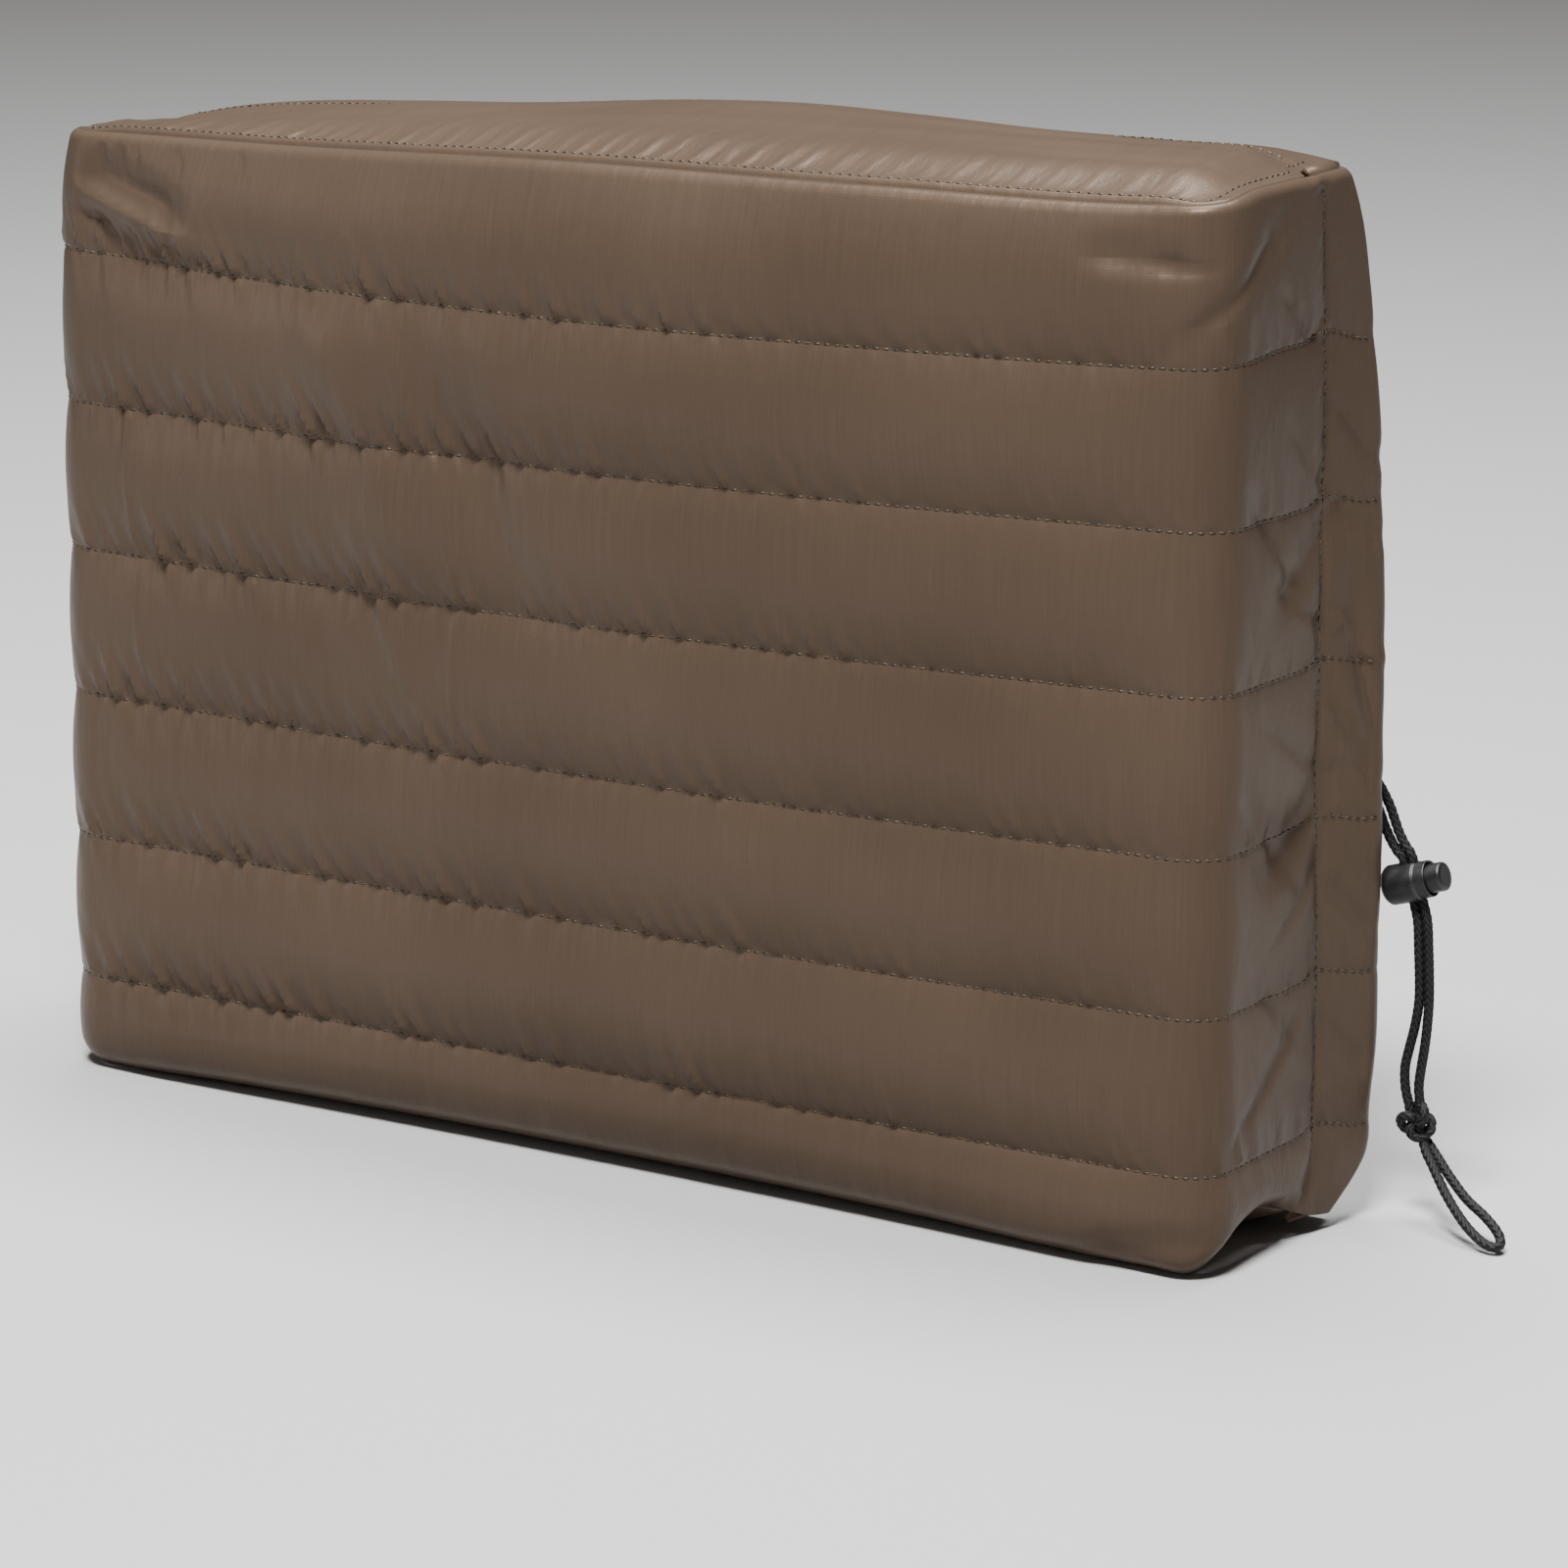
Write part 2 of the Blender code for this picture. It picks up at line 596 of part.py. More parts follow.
def build_knot(finish):
    """The knot as one plain lobed solid: three turns of cord pulled tight round each other."""
    shape = bmesh.new()
    bmesh.ops.create_uvsphere(shape, u_segments=28, v_segments=18, radius=1.0)
    for vertex in shape.verts:
        x, y, z = vertex.co
        around = math.atan2(y, x)
        turns = abs(math.cos(1.5 * (z * 2.1 + around / math.pi))) ** 0.6
        lobes = 0.80 + 0.20 * turns * math.sqrt(max(0.0, 1 - z * z)) + 0.12 * abs(z)
        vertex.co = Vector((x * KNOT_RADII[0], y * KNOT_RADII[1], z * KNOT_RADII[2])) * lobes
        vertex.co += KNOT_CENTRE - ORIGIN
    return mesh_object("drawstring_knot", shape, finish)


def mesh_object(name, shape, finish):
    mesh = bpy.data.meshes.new(name)
    shape.to_mesh(mesh)
    shape.free()
    mesh.materials.append(finish)
    mesh.shade_smooth()
    made = bpy.data.objects.new(name, mesh)
    bpy.context.collection.objects.link(made)
    return made


def turned_piece(name, profile, finish, segments=48):
    """A round piece turned about the lock's axis from (forward, radius) points, first and last on the axis."""
    shape = bmesh.new()
    rows = []
    for forward, radius in profile:
        if radius == 0.0:
            rows.append([shape.verts.new((forward, 0.0, 0.0))])
            continue
        angles = [2 * math.pi * k / segments for k in range(segments)]
        rows.append([shape.verts.new((forward, radius * math.cos(a), radius * math.sin(a))) for a in angles])
    for before, after in zip(rows, rows[1:]):
        for k in range(segments):
            ring = [before[k % len(before)], before[(k + 1) % len(before)]]
            ring += [after[(k + 1) % len(after)], after[k % len(after)]]
            shape.faces.new(list(dict.fromkeys(ring)))
    bmesh.ops.recalc_face_normals(shape, faces=shape.faces)
    made = mesh_object(name, shape, finish)
    made.data.shade_flat()
    return made


def cut_slot(piece, start, end, width, reach):
    """Cuts the cross slot for the two strands through a piece that lies along its own X axis."""
    shape = bmesh.new()
    size = Matrix.Diagonal((end - start, width, 2 * reach, 1.0))
    bmesh.ops.create_cube(shape, size=1.0, matrix=Matrix.Translation(((start + end) / 2, 0.0, 0.0)) @ size)
    cutter = mesh_object(piece.name + "_slot_cutter", shape, piece.data.materials[0])
    cutter.hide_render = True
    cutter.display_type = "WIRE"
    cutter.parent = piece
    cut = piece.modifiers.new("cross slot", "BOOLEAN")
    cut.object = cutter
    cut.operation = "DIFFERENCE"
    cut.solver = "EXACT"


def set_on_axis(piece, place):
    piece.rotation_euler = (0.0, -LOCK_TILT, 0.0)
    piece.location = place - ORIGIN


def build_lock(barrel_finish, button_finish):
    """The barrel with its bore and cross slot, and the spring-loaded plunger whose end is the button."""
    edge = 0.0006
    slot_half = STRAND_SPACING / 2 + CORD / 2 + RUNNING_GAP
    slot_width = CORD + 2 * RUNNING_GAP
    barrel = turned_piece(
        "cord_lock_barrel",
        (
            (0.0, 0.0),
            (0.0, BARREL_RADIUS - 2 * edge),
            (2 * edge, BARREL_RADIUS),
            (BARREL_LENGTH - edge, BARREL_RADIUS),
            (BARREL_LENGTH, BARREL_RADIUS - edge),
            (BARREL_LENGTH, BORE_RADIUS),
            (BARREL_FLOOR, BORE_RADIUS),
            (BARREL_FLOOR, 0.0),
        ),
        barrel_finish,
    )
    cut_slot(barrel, STRAND_PLACE - slot_half, STRAND_PLACE + slot_half, slot_width, BARREL_RADIUS + edge)
    set_on_axis(barrel, lock_point(0.0))
    inner = BARREL_FLOOR + RUNNING_GAP + BUTTON_TRAVEL
    outer = BARREL_LENGTH + BUTTON_OUT
    button = turned_piece(
        "cord_lock_button",
        (
            (0.0, 0.0),
            (0.0, BUTTON_RADIUS - edge / 2),
            (edge / 2, BUTTON_RADIUS),
            (outer - inner - 2 * edge, BUTTON_RADIUS),
            (outer - inner - edge / 2, BUTTON_RADIUS - edge / 2),
            (outer - inner, BUTTON_RADIUS - 2 * edge),
            (outer - inner, 0.0),
        ),
        button_finish,
    )
    start = STRAND_PLACE - slot_half - inner
    end = STRAND_PLACE + slot_half + BUTTON_TRAVEL - inner
    cut_slot(button, start, end, slot_width, BARREL_RADIUS)
    set_on_axis(button, lock_point(inner))


def main():
    clear_scene()
    cloth = material("quilted_cloth", (0.150, 0.112, 0.085), 0.55)
    build_wall(cloth)
    build_top(cloth)
    build_bottom(cloth)
    braid = material("black_braid", (0.012, 0.012, 0.013), 0.75)
    plastic = material("black_plastic", (0.016, 0.016, 0.017), 0.5)
    cord_solid("drawstring_strand_1", STRAND_1, braid)
    cord_solid("drawstring_strand_2", STRAND_2, braid)
    cord_solid("drawstring_loop", LOOP, braid, 0.0034)
    build_knot(braid)
    build_lock(plastic, plastic)


main()
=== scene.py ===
import math

import bmesh
import bpy
import numpy as np
from mathutils import Matrix, Vector


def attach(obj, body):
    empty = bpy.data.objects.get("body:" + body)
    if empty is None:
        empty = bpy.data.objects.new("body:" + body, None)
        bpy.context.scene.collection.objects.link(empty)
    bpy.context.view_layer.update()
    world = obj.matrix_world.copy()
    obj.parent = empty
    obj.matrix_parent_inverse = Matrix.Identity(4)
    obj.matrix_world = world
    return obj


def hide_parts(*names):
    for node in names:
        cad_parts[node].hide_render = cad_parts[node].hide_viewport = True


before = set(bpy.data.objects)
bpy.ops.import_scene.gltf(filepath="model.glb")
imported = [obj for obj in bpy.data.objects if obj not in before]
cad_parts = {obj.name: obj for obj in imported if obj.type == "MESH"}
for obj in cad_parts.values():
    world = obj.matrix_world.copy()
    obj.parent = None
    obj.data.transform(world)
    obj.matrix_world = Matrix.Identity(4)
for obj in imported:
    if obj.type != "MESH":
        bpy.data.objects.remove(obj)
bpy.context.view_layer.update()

# Quilted cloth cover for the indoor side of a window air conditioner. Metres, front towards -Y, open back
# towards +Y. The form is worked out above a floor at height 0 with the front plane at depth 0.
ORIGIN = np.array((0.0, 0.040, 0.3315))
FLOOR = -0.3329

# Cloth
WIDTH = 0.436
HEIGHT = 0.330
SIDE = 0.062
CASING = 0.0235
SHEET = 0.0022
FRONT_PUFF = 0.0046
SIDE_PUFF = 0.0018
PINCHED_PUFF = 0.0009
CORNER_RADIUS = 0.015
SIDE_LEAN = math.radians(3.5)
PITCH = 0.05025
FIRST_LINE = 0.0323
LINES = 6
FOLD_RADIUS = 0.0039
PINCHED_FOLD = 0.0025
RETURN = 0.0185
HEM_BEND = 0.010
BOTTOM_CURL = 0.009
TOP_ROLL = 0.0030
TOP_ROLL_ANGLE = math.radians(75)
STITCH_PITCH = 0.0033
TOP_BACK_EDGE = SIDE + CASING - 0.004
TOP_CASING_STITCH = TOP_BACK_EDGE - 0.0205
BOTTOM_BACK_EDGE = SIDE + CASING - 0.008
TOP_SEAM_GAP = 0.0004
BOTTOM_SEAM_GAP = 0.0006
LAYER_GAP = 0.0004

# How soft cloth takes up its form: fullness of the channels, gathered edges, dents under the thread
CHANNEL_ROUND = 0.92
BULGE_ROUND = 1.3
FRONT_END = 0.214
FULLNESS_CHANGE = 0.04
FOLD_CLOSING = 0.55
HEM_SAG = 0.0022
SAG_TURN = 1.6  # above 1 the hem's back edge lifts as its front edge sags
LINE_DENT = 0.002
CREASES_LOST = 0.6  # share of a crease that the casing doesn't take up
WRINKLES_LOST = 0.3
LEFT_CURL_LOST = 0.4
LEFT_CURL_START = 0.15
LEFT_CURL_CHANGE = 0.05
LOW_RETURN = 0.86
SEAM_DENT = 0.0011
SEAM_DENT_HALF = 0.0016
CASING_GATHER = 0.0008
CASING_GATHER_REACH = 0.0075
CASING_GATHER_LEAN = 0.55
STRIP_RISE = 0.0016
STRIP_RUN = 0.003
TOP_SWELL = 0.0046
TOP_SWELL_RUN = 0.016
TOP_ARCH = 0.0033
TOP_TUCK = 0.0032
TOP_TUCK_RUN = 0.0026
TOP_STITCH_DENT = 0.0009
TOP_STITCH_GATHER = 0.00028
TOP_STITCH_GATHER_REACH = 0.0060

# Drawstring and cord lock
CORD = 0.0027
LOCK_TILT = math.radians(17)
LOCK_CENTRE = np.array((0.2378, 0.0953, 0.1084))
BARREL_LENGTH = 0.0155
BARREL_RADIUS = 0.0064
BORE_RADIUS = 0.0050
BARREL_FLOOR = 0.0012
BARREL_EDGE = 0.0011
BARREL_NECK = 0.0042  # where the barrel steps in, from its rim
BARREL_NECK_STEP = 0.00045
SMALL_EDGE = 0.0004
BUTTON_EDGE = 0.0010
BUTTON_RADIUS = 0.00465
BUTTON_OUT = 0.0050
BUTTON_TRAVEL = 0.0026
RUNNING_GAP = 0.00035
STRAND_SPACING = 0.0032
STRAND_PLACE = 0.0090
KNOT_CENTRE = np.array((0.2430, 0.0945, 0.0308))

# height, right_flare, left_flare, stitch_shift, hem_share, left_out
WALL = (
    (0.000, 12.0, 10.0, -0.0060, 0.66, 0.0085),
    (0.012, 14.0, 11.0, 0.0000, 0.90, 0.0085),
    (0.045, 17.0, 12.0, 0.0030, 1.00, 0.0085),
    (0.110, 21.0, 14.0, 0.0020, 1.00, 0.0078),
    (0.157, 26.0, 17.0, 0.0000, 1.00, 0.0072),
    (0.205, 20.0, 19.0, 0.0000, 1.00, 0.0068),
    (0.262, 12.0, 14.0, 0.0000, 0.98, 0.0058),
    (0.300, 5.0, 8.0, -0.0020, 0.94, 0.0044),
    (0.318, 0.0, 4.0, -0.0030, 0.87, 0.0030),
    (0.330, -4.0, 2.0, -0.0040, 0.74, 0.0016),
)
# height, bulge
FRONT_BULGE = (
    (0.000, -0.006),
    (0.032, 0.001),
    (0.083, 0.004),
    (0.133, 0.008),
    (0.183, 0.012),
    (0.233, 0.016),
    (0.284, 0.019),
    (0.330, 0.013),
)
# along, seam_rise, line_rise, bottom_rise
LEVELS = (
    (-0.300, -0.0100, 0.0000, 0.0050),
    (-0.285, -0.0108, 0.0000, 0.0040),
    (-0.262, -0.0118, 0.0010, 0.0040),
    (-0.245, -0.0100, 0.0012, 0.0030),
    (-0.226, -0.0062, 0.0015, 0.0010),
    (-0.205, -0.0055, 0.0012, 0.0000),
    (-0.120, -0.0035, -0.0010, 0.0000),
    (-0.010, 0.0000, -0.0020, 0.0000),
    (0.100, 0.0000, -0.0020, 0.0000),
    (0.195, 0.0003, -0.0015, -0.0008),
    (0.215, 0.0015, -0.0010, 0.0000),
    (0.230, 0.0038, 0.0000, 0.0085),
    (0.245, 0.0042, 0.0010, 0.0122),
    (0.258, 0.0042, 0.0010, 0.0108),
    (0.275, 0.0042, 0.0010, 0.0050),
    (0.288, 0.0042, 0.0000, 0.0040),
    (0.300, 0.0025, 0.0000, 0.0060),
)
# place_across, back_rise, fullness
TOP_BACK = (
    (-0.222, -0.0090, 0.10),
    (-0.201, -0.0052, 0.20),
    (-0.185, -0.0031, 0.30),
    (-0.125, 0.0011, 0.55),
    (-0.072, 0.0034, 0.80),
    (-0.004, 0.0085, 0.90),
    (0.022, 0.0096, 0.90),
    (0.072, 0.0088, 0.90),
    (0.117, 0.0072, 0.90),
    (0.160, 0.0070, 0.85),
    (0.200, 0.0068, 0.70),
    (0.218, 0.0042, 0.50),
)
# Main creases, as soft ridges (rise above 0) and troughs (below 0)
# along_1, height_1, along_2, height_2, half_width, rise
CREASES = (
    (-0.198, 0.316, -0.160, 0.303, 0.0075, -0.0042),
    (-0.200, 0.306, -0.150, 0.292, 0.0040, 0.0018),
    (-0.202, 0.299, -0.178, 0.284, 0.0045, -0.0020),
    (0.176, 0.316, 0.207, 0.313, 0.0040, -0.0026),
    (0.203, 0.290, 0.246, 0.320, 0.0040, -0.0018),
    (-0.100, 0.276, -0.062, 0.190, 0.0120, 0.0030),
    (-0.060, 0.275, -0.020, 0.185, 0.0110, -0.0030),
    (0.245, 0.205, 0.285, 0.232, 0.0070, -0.0020),
    (0.240, 0.120, 0.288, 0.150, 0.0070, -0.0022),
    (0.180, 0.006, 0.215, 0.012, 0.0040, -0.0018),
)
# Smaller creases and tucks, in the same terms
SMALL_CREASES = (
    (-0.203, 0.310, -0.150, 0.290, 0.0016, 0.0011),
    (-0.203, 0.298, -0.168, 0.287, 0.0018, -0.0013),
    (-0.178, 0.306, -0.165, 0.301, 0.0012, 0.0007),
    (-0.155, 0.294, -0.118, 0.294, 0.0012, 0.0006),
    (-0.196, 0.326, -0.193, 0.316, 0.0012, -0.0010),
    (-0.188, 0.326, -0.184, 0.315, 0.0013, -0.0011),
    (-0.180, 0.326, -0.177, 0.317, 0.0010, -0.0008),
    (-0.162, 0.326, -0.158, 0.318, 0.0012, -0.0009),
    (-0.135, 0.327, -0.132, 0.319, 0.0012, -0.0007),
    (0.196, 0.313, 0.214, 0.312, 0.0013, -0.0012),
    (0.206, 0.288, 0.243, 0.318, 0.0018, 0.0010),
    (0.244, 0.300, 0.270, 0.280, 0.0022, -0.0010),
    (0.250, 0.260, 0.274, 0.236, 0.0022, -0.0011),
    (0.246, 0.212, 0.280, 0.190, 0.0022, -0.0012),
    (0.240, 0.170, 0.278, 0.146, 0.0024, -0.0013),
    (0.246, 0.100, 0.280, 0.122, 0.0022, -0.0010),
    (-0.184, 0.240, -0.181, 0.192, 0.0010, 0.0007),
    (-0.182, 0.190, -0.177, 0.134, 0.0010, 0.0006),
    (-0.054, 0.262, -0.048, 0.186, 0.0011, 0.0006),
    (-0.050, 0.178, -0.052, 0.140, 0.0010, 0.0006),
    (-0.070, 0.272, -0.052, 0.205, 0.0040, 0.0011),
    (-0.040, 0.272, -0.030, 0.215, 0.0040, -0.0009),
    (-0.092, 0.220, -0.066, 0.150, 0.0050, 0.0009),
    (-0.120, 0.222, -0.098, 0.160, 0.0050, -0.0008),
    (0.166, 0.004, 0.205, 0.014, 0.0018, -0.0009),
    (0.285, 0.206, 0.296, 0.150, 0.0045, -0.0034),
    (0.277, 0.172, 0.297, 0.140, 0.0026, -0.0030),
    (0.277, 0.196, 0.297, 0.182, 0.0024, 0.0022),
    (0.277, 0.262, 0.298, 0.244, 0.0026, -0.0020),
    (0.277, 0.232, 0.296, 0.220, 0.0022, -0.0018),
    (0.276, 0.112, 0.297, 0.096, 0.0026, -0.0018),
    (0.276, 0.066, 0.296, 0.052, 0.0026, -0.0016),
    (0.226, 0.040, 0.262, 0.072, 0.0030, -0.0014),
    (0.232, 0.240, 0.262, 0.206, 0.0034, -0.0016),
    (0.228, 0.150, 0.262, 0.116, 0.0034, -0.0014),
    (0.236, 0.092, 0.270, 0.060, 0.0030, -0.0013),
)

# Mesh steps of the visible face, and how many of them the inner face joins into one
FRONT_STEPS = 204
CORNER_STEPS = 16
SIDE_STEPS = 36
CASING_STEPS = 16
FOLD_STEPS = 8
RETURN_STEPS = 4
INNER_COLUMNS = 4
INNER_ROWS = 2
CURL_ROWS = 7
ROLL_ROWS = 5
FINE_STEPS = 1200
LATHE_STEPS = 72
FITTING_ROUNDS = 5
BELOW_FIRST_LINE = (0.0186, 0.0144)
NEAR_LINE = (0.0008, 0.0020, 0.0040, 0.0072, 0.0120)
MID_CHANNEL = (0.29, 0.34, 0.39, 0.445, 0.5, 0.555, 0.61, 0.66, 0.71)


def smooth(value):
    value = np.clip(value, 0.0, 1.0)
    return value * value * (3.0 - 2.0 * value)


def through(table, column, at):
    """The value in a column of a table, on a smooth curve through its rows."""
    places = np.array([row[0] for row in table])
    values = np.array([row[column] for row in table])
    slopes = np.gradient(values, places)
    at = np.clip(at, places[0], places[-1])
    i = np.clip(np.searchsorted(places, at) - 1, 0, len(places) - 2)
    step = places[i + 1] - places[i]
    t = (at - places[i]) / step
    start = values[i] * (1 + 2 * t) * (1 - t) ** 2 + step * slopes[i] * t * (1 - t) ** 2
    end = values[i + 1] * t * t * (3 - 2 * t) + step * slopes[i + 1] * t * t * (t - 1)
    return start + end


def fade(away, reach):
    """1 on a line, falling softly to 0 beyond a reach on both sides of it."""
    return np.exp(-((away / reach) ** 2))


def line_height(index):
    return FIRST_LINE + PITCH * index


# ---- camera, floor and lights


def look_at(thing, place, target):
    thing.location = place
    thing.rotation_mode = "QUATERNION"
    thing.rotation_quaternion = (Vector(target) - Vector(place)).to_track_quat("-Z", "Y")


def soft_light(name, place, target, size, power):
    data = bpy.data.lights.new(name, "AREA")
    data.shape = "RECTANGLE"
    data.size, data.size_y = size
    data.energy = power
    lamp = bpy.data.objects.new(name, data)
    bpy.context.collection.objects.link(lamp)
    look_at(lamp, place, target)


def studio():
    camera = bpy.data.objects.new("camera", bpy.data.cameras.new("camera"))
    bpy.context.collection.objects.link(camera)
    camera.data.sensor_width = 36.0
    camera.data.lens = 124.3
    place = Vector((0.93296, -1.44102, 0.22508))
    look_at(camera, place, place + Vector((-0.51002, 0.82412, -0.24637)))
    bpy.context.scene.camera = camera

    shape = bmesh.new()
    bmesh.ops.create_grid(shape, x_segments=8, y_segments=8, size=6.0)
    bmesh.ops.translate(shape, verts=shape.verts, vec=(0.0, 0.0, FLOOR))
    mesh = bpy.data.meshes.new("floor")
    shape.to_mesh(mesh)
    shape.free()
    floor = bpy.data.objects.new("floor", mesh)
    bpy.context.collection.objects.link(floor)
    paint = bpy.data.materials.new("pale_floor")
    paint.use_nodes = True
    shader = paint.node_tree.nodes["Principled BSDF"]
    shader.inputs["Base Color"].default_value = (0.42, 0.42, 0.42, 1.0)
    shader.inputs["Roughness"].default_value = 0.9
    shader.inputs["Specular IOR Level"].default_value = 0.1
    mesh.materials.append(paint)

    world = bpy.data.worlds.new("studio")
    bpy.context.scene.world = world
    world.use_nodes = True
    world.node_tree.nodes["Background"].inputs["Color"].default_value = (1.0, 0.90, 0.82, 1.0)
    world.node_tree.nodes["Background"].inputs["Strength"].default_value = 0.12
    soft_light("key_above_front", (0.45, -1.25, 2.45), (0.0, 0.0, -0.10), (0.8, 0.6), 240.0)
    soft_light("overhead", (0.0, 0.35, 2.2), (0.0, 0.0, -0.1), (1.2, 0.8), 110.0)
    soft_light("low_left", (-2.2, -1.6, 0.4), (0.0, 0.0, -0.15), (0.5, 1.0), 8.0)


# ---- quilted cloth


def channel_puff(height):
    edges = np.array([0.0] + [line_height(i) for i in range(LINES)] + [HEIGHT])
    i = np.clip(np.searchsorted(edges, height, side="right") - 1, 0, LINES)
    t = (height - edges[i]) / (edges[i + 1] - edges[i])
    return (4 * t * (1 - t)) ** CHANNEL_ROUND


def crease_rise(table, along, height):
    total = np.zeros_like(along)
    for along_1, height_1, along_2, height_2, half_width, rise in table:
        run = np.array([along_2 - along_1, height_2 - height_1])
        length = np.hypot(*run)
        run = run / length
        forward = (along - along_1) * run[0] + (height - height_1) * run[1]
        beside = (along - along_1) * run[1] - (height - height_1) * run[0]
        reach = smooth(1.5 - np.abs(forward / length - 0.5) * 2.0)
        total += rise * reach * fade(beside, half_width)
    return total


RIDGE_STEP = 0.00025
RIDGE_END = 0.36


def uneven_ridges(seed, spacing, width, low, high):
    """Heights along a seam of unevenly spaced small ridges and troughs."""
    draw = np.random.default_rng(seed)
    places = np.arange(-RIDGE_END, RIDGE_END, RIDGE_STEP)
    heights = np.zeros_like(places)
    at = -RIDGE_END
    while at < RIDGE_END:
        at += spacing * draw.uniform(0.65, 1.35)
        own_width = width * draw.uniform(0.7, 1.3)
        near = np.abs(places - at) < own_width * 3.5
        heights[near] += draw.uniform(low, high) * fade(places[near] - at, own_width)
    return heights - heights.mean()


def read_ridges(ridges, at):
    return np.interp(at, np.arange(len(ridges)) * RIDGE_STEP - RIDGE_END, ridges)


# Seed, spacing, width, and the lowest and highest share of a ridge, for each stitch line and the top seam
PUCKERS = [
    {
        "short_above": uneven_ridges(11 + 7 * i, 0.0034, 0.00095, 0.5, 1.0),
        "long_above": uneven_ridges(12 + 7 * i, 0.0100, 0.0019, 0.4, 1.0),
        "short_below": uneven_ridges(13 + 7 * i, 0.0036, 0.00095, 0.4, 1.0),
        "wide": uneven_ridges(14 + 7 * i, 0.030, 0.010, -0.6, 1.0),
    }
    for i in range(LINES + 1)
]
PUCKER_LEAN = 0.38
CASING_PUCKERS = {
    1: uneven_ridges(91, 0.0072, 0.0021, 0.3, 1.0),
    -1: uneven_ridges(92, 0.0075, 0.0021, 0.3, 1.0),
}
# ridges, rise, reach
ABOVE_LINE = (("short_above", 0.00165, 0.0058), ("long_above", 0.00330, 0.0125))
BELOW_LINE = (("short_below", 0.00090, 0.0048), ("long_above", 0.00140, 0.0090))
WIDE = ("wide", 0.0010, 0.020)
BELOW_SEAM = ("short_below", 0.00026, 0.006)
BEHIND_SEAM = (("short_above", 0.00050, 0.0110), ("long_above", 0.00085, 0.0200))
PUCKERS_END = 0.030
LINE_PINCH = 0.0022
PINCHED_SHARE = 0.18
EVEN_SHARE = 0.75
WIDE_SHARE = 0.45
WEAKEST = 0.3
STRONGEST = 1.2
SEAM_LEAN = 0.1
SEAM_WRINKLES_END = 0.02
# along, strength
PUCKER_STRENGTH = (
    (-0.320, 0.35),
    (-0.250, 0.30),
    (-0.216, 0.40),
    (-0.196, 1.00),
    (-0.080, 1.00),
    (0.040, 0.75),
    (0.110, 0.42),
    (0.200, 0.30),
    (0.260, 0.40),
    (0.320, 0.30),
)


def gathered(own, kind, at, away):
    """One kind of wrinkle, read at its place along a seam and faded with its distance from it."""
    ridges, rise, reach = kind
    return rise * fade(away, reach) * read_ridges(own[ridges], at)


def pucker_rise(along, height):
    """The small gathered wrinkles on both sides of each stitch line, longer above it than below."""
    total = np.zeros_like(along)
    even_strength = through(PUCKER_STRENGTH, 1, along)
    for i in range(LINES):
        from_line = height - line_height(i)
        if abs(from_line) > PUCKERS_END:
            continue
        own = PUCKERS[i]
        at = along + PUCKER_LEAN * from_line
        uneven = EVEN_SHARE + WIDE_SHARE * read_ridges(own["wide"], along)
        strength = even_strength * np.clip(uneven, WEAKEST, STRONGEST)
        pinch = PINCHED_SHARE + (1 - PINCHED_SHARE) * float(smooth(abs(from_line) / LINE_PINCH))
        for kind in ABOVE_LINE if from_line >= 0 else BELOW_LINE:
            total += strength * pinch * gathered(own, kind, at, from_line)
        total += strength * gathered(own, WIDE, at, from_line)
    below_seam = HEIGHT - height
    if below_seam < SEAM_WRINKLES_END:
        small = gathered(PUCKERS[LINES], BELOW_SEAM, along - SEAM_LEAN * below_seam, below_seam)
        total += even_strength * small * float(smooth(below_seam / LINE_DENT))
    return total


def row_stations():
    """(height, roll_in) of the wall's rows, close together beside the stitch lines."""
    rows = []
    for angle in np.radians(np.linspace(90.0, 0.0, CURL_ROWS)):
        rows.append((BOTTOM_CURL * (1 - math.sin(angle)), BOTTOM_CURL * (1 - math.cos(angle))))
    rows += [(FIRST_LINE - place, 0.0) for place in (*BELOW_FIRST_LINE, *NEAR_LINE[::-1])]
    for line in range(LINES):
        start = line_height(line)
        end = line_height(line + 1) if line < LINES - 1 else HEIGHT - TOP_ROLL
        middle = [start + (end - start) * share for share in MID_CHANNEL]
        above = [start + place for place in NEAR_LINE]
        below = [end - place for place in NEAR_LINE[::-1]]
        rows += [(height, 0.0) for height in (start, *above, *middle, *below)]
    for angle in np.linspace(0.0, TOP_ROLL_ANGLE, ROLL_ROWS):
        rows.append((HEIGHT - TOP_ROLL * (1 - math.sin(angle)), TOP_ROLL * (1 - math.cos(angle))))
    return rows


def half_lengths():
    front = WIDTH / 2 - CORNER_RADIUS
    corner = CORNER_RADIUS * (math.pi / 2 - SIDE_LEAN)
    return front, corner, SIDE - CORNER_RADIUS


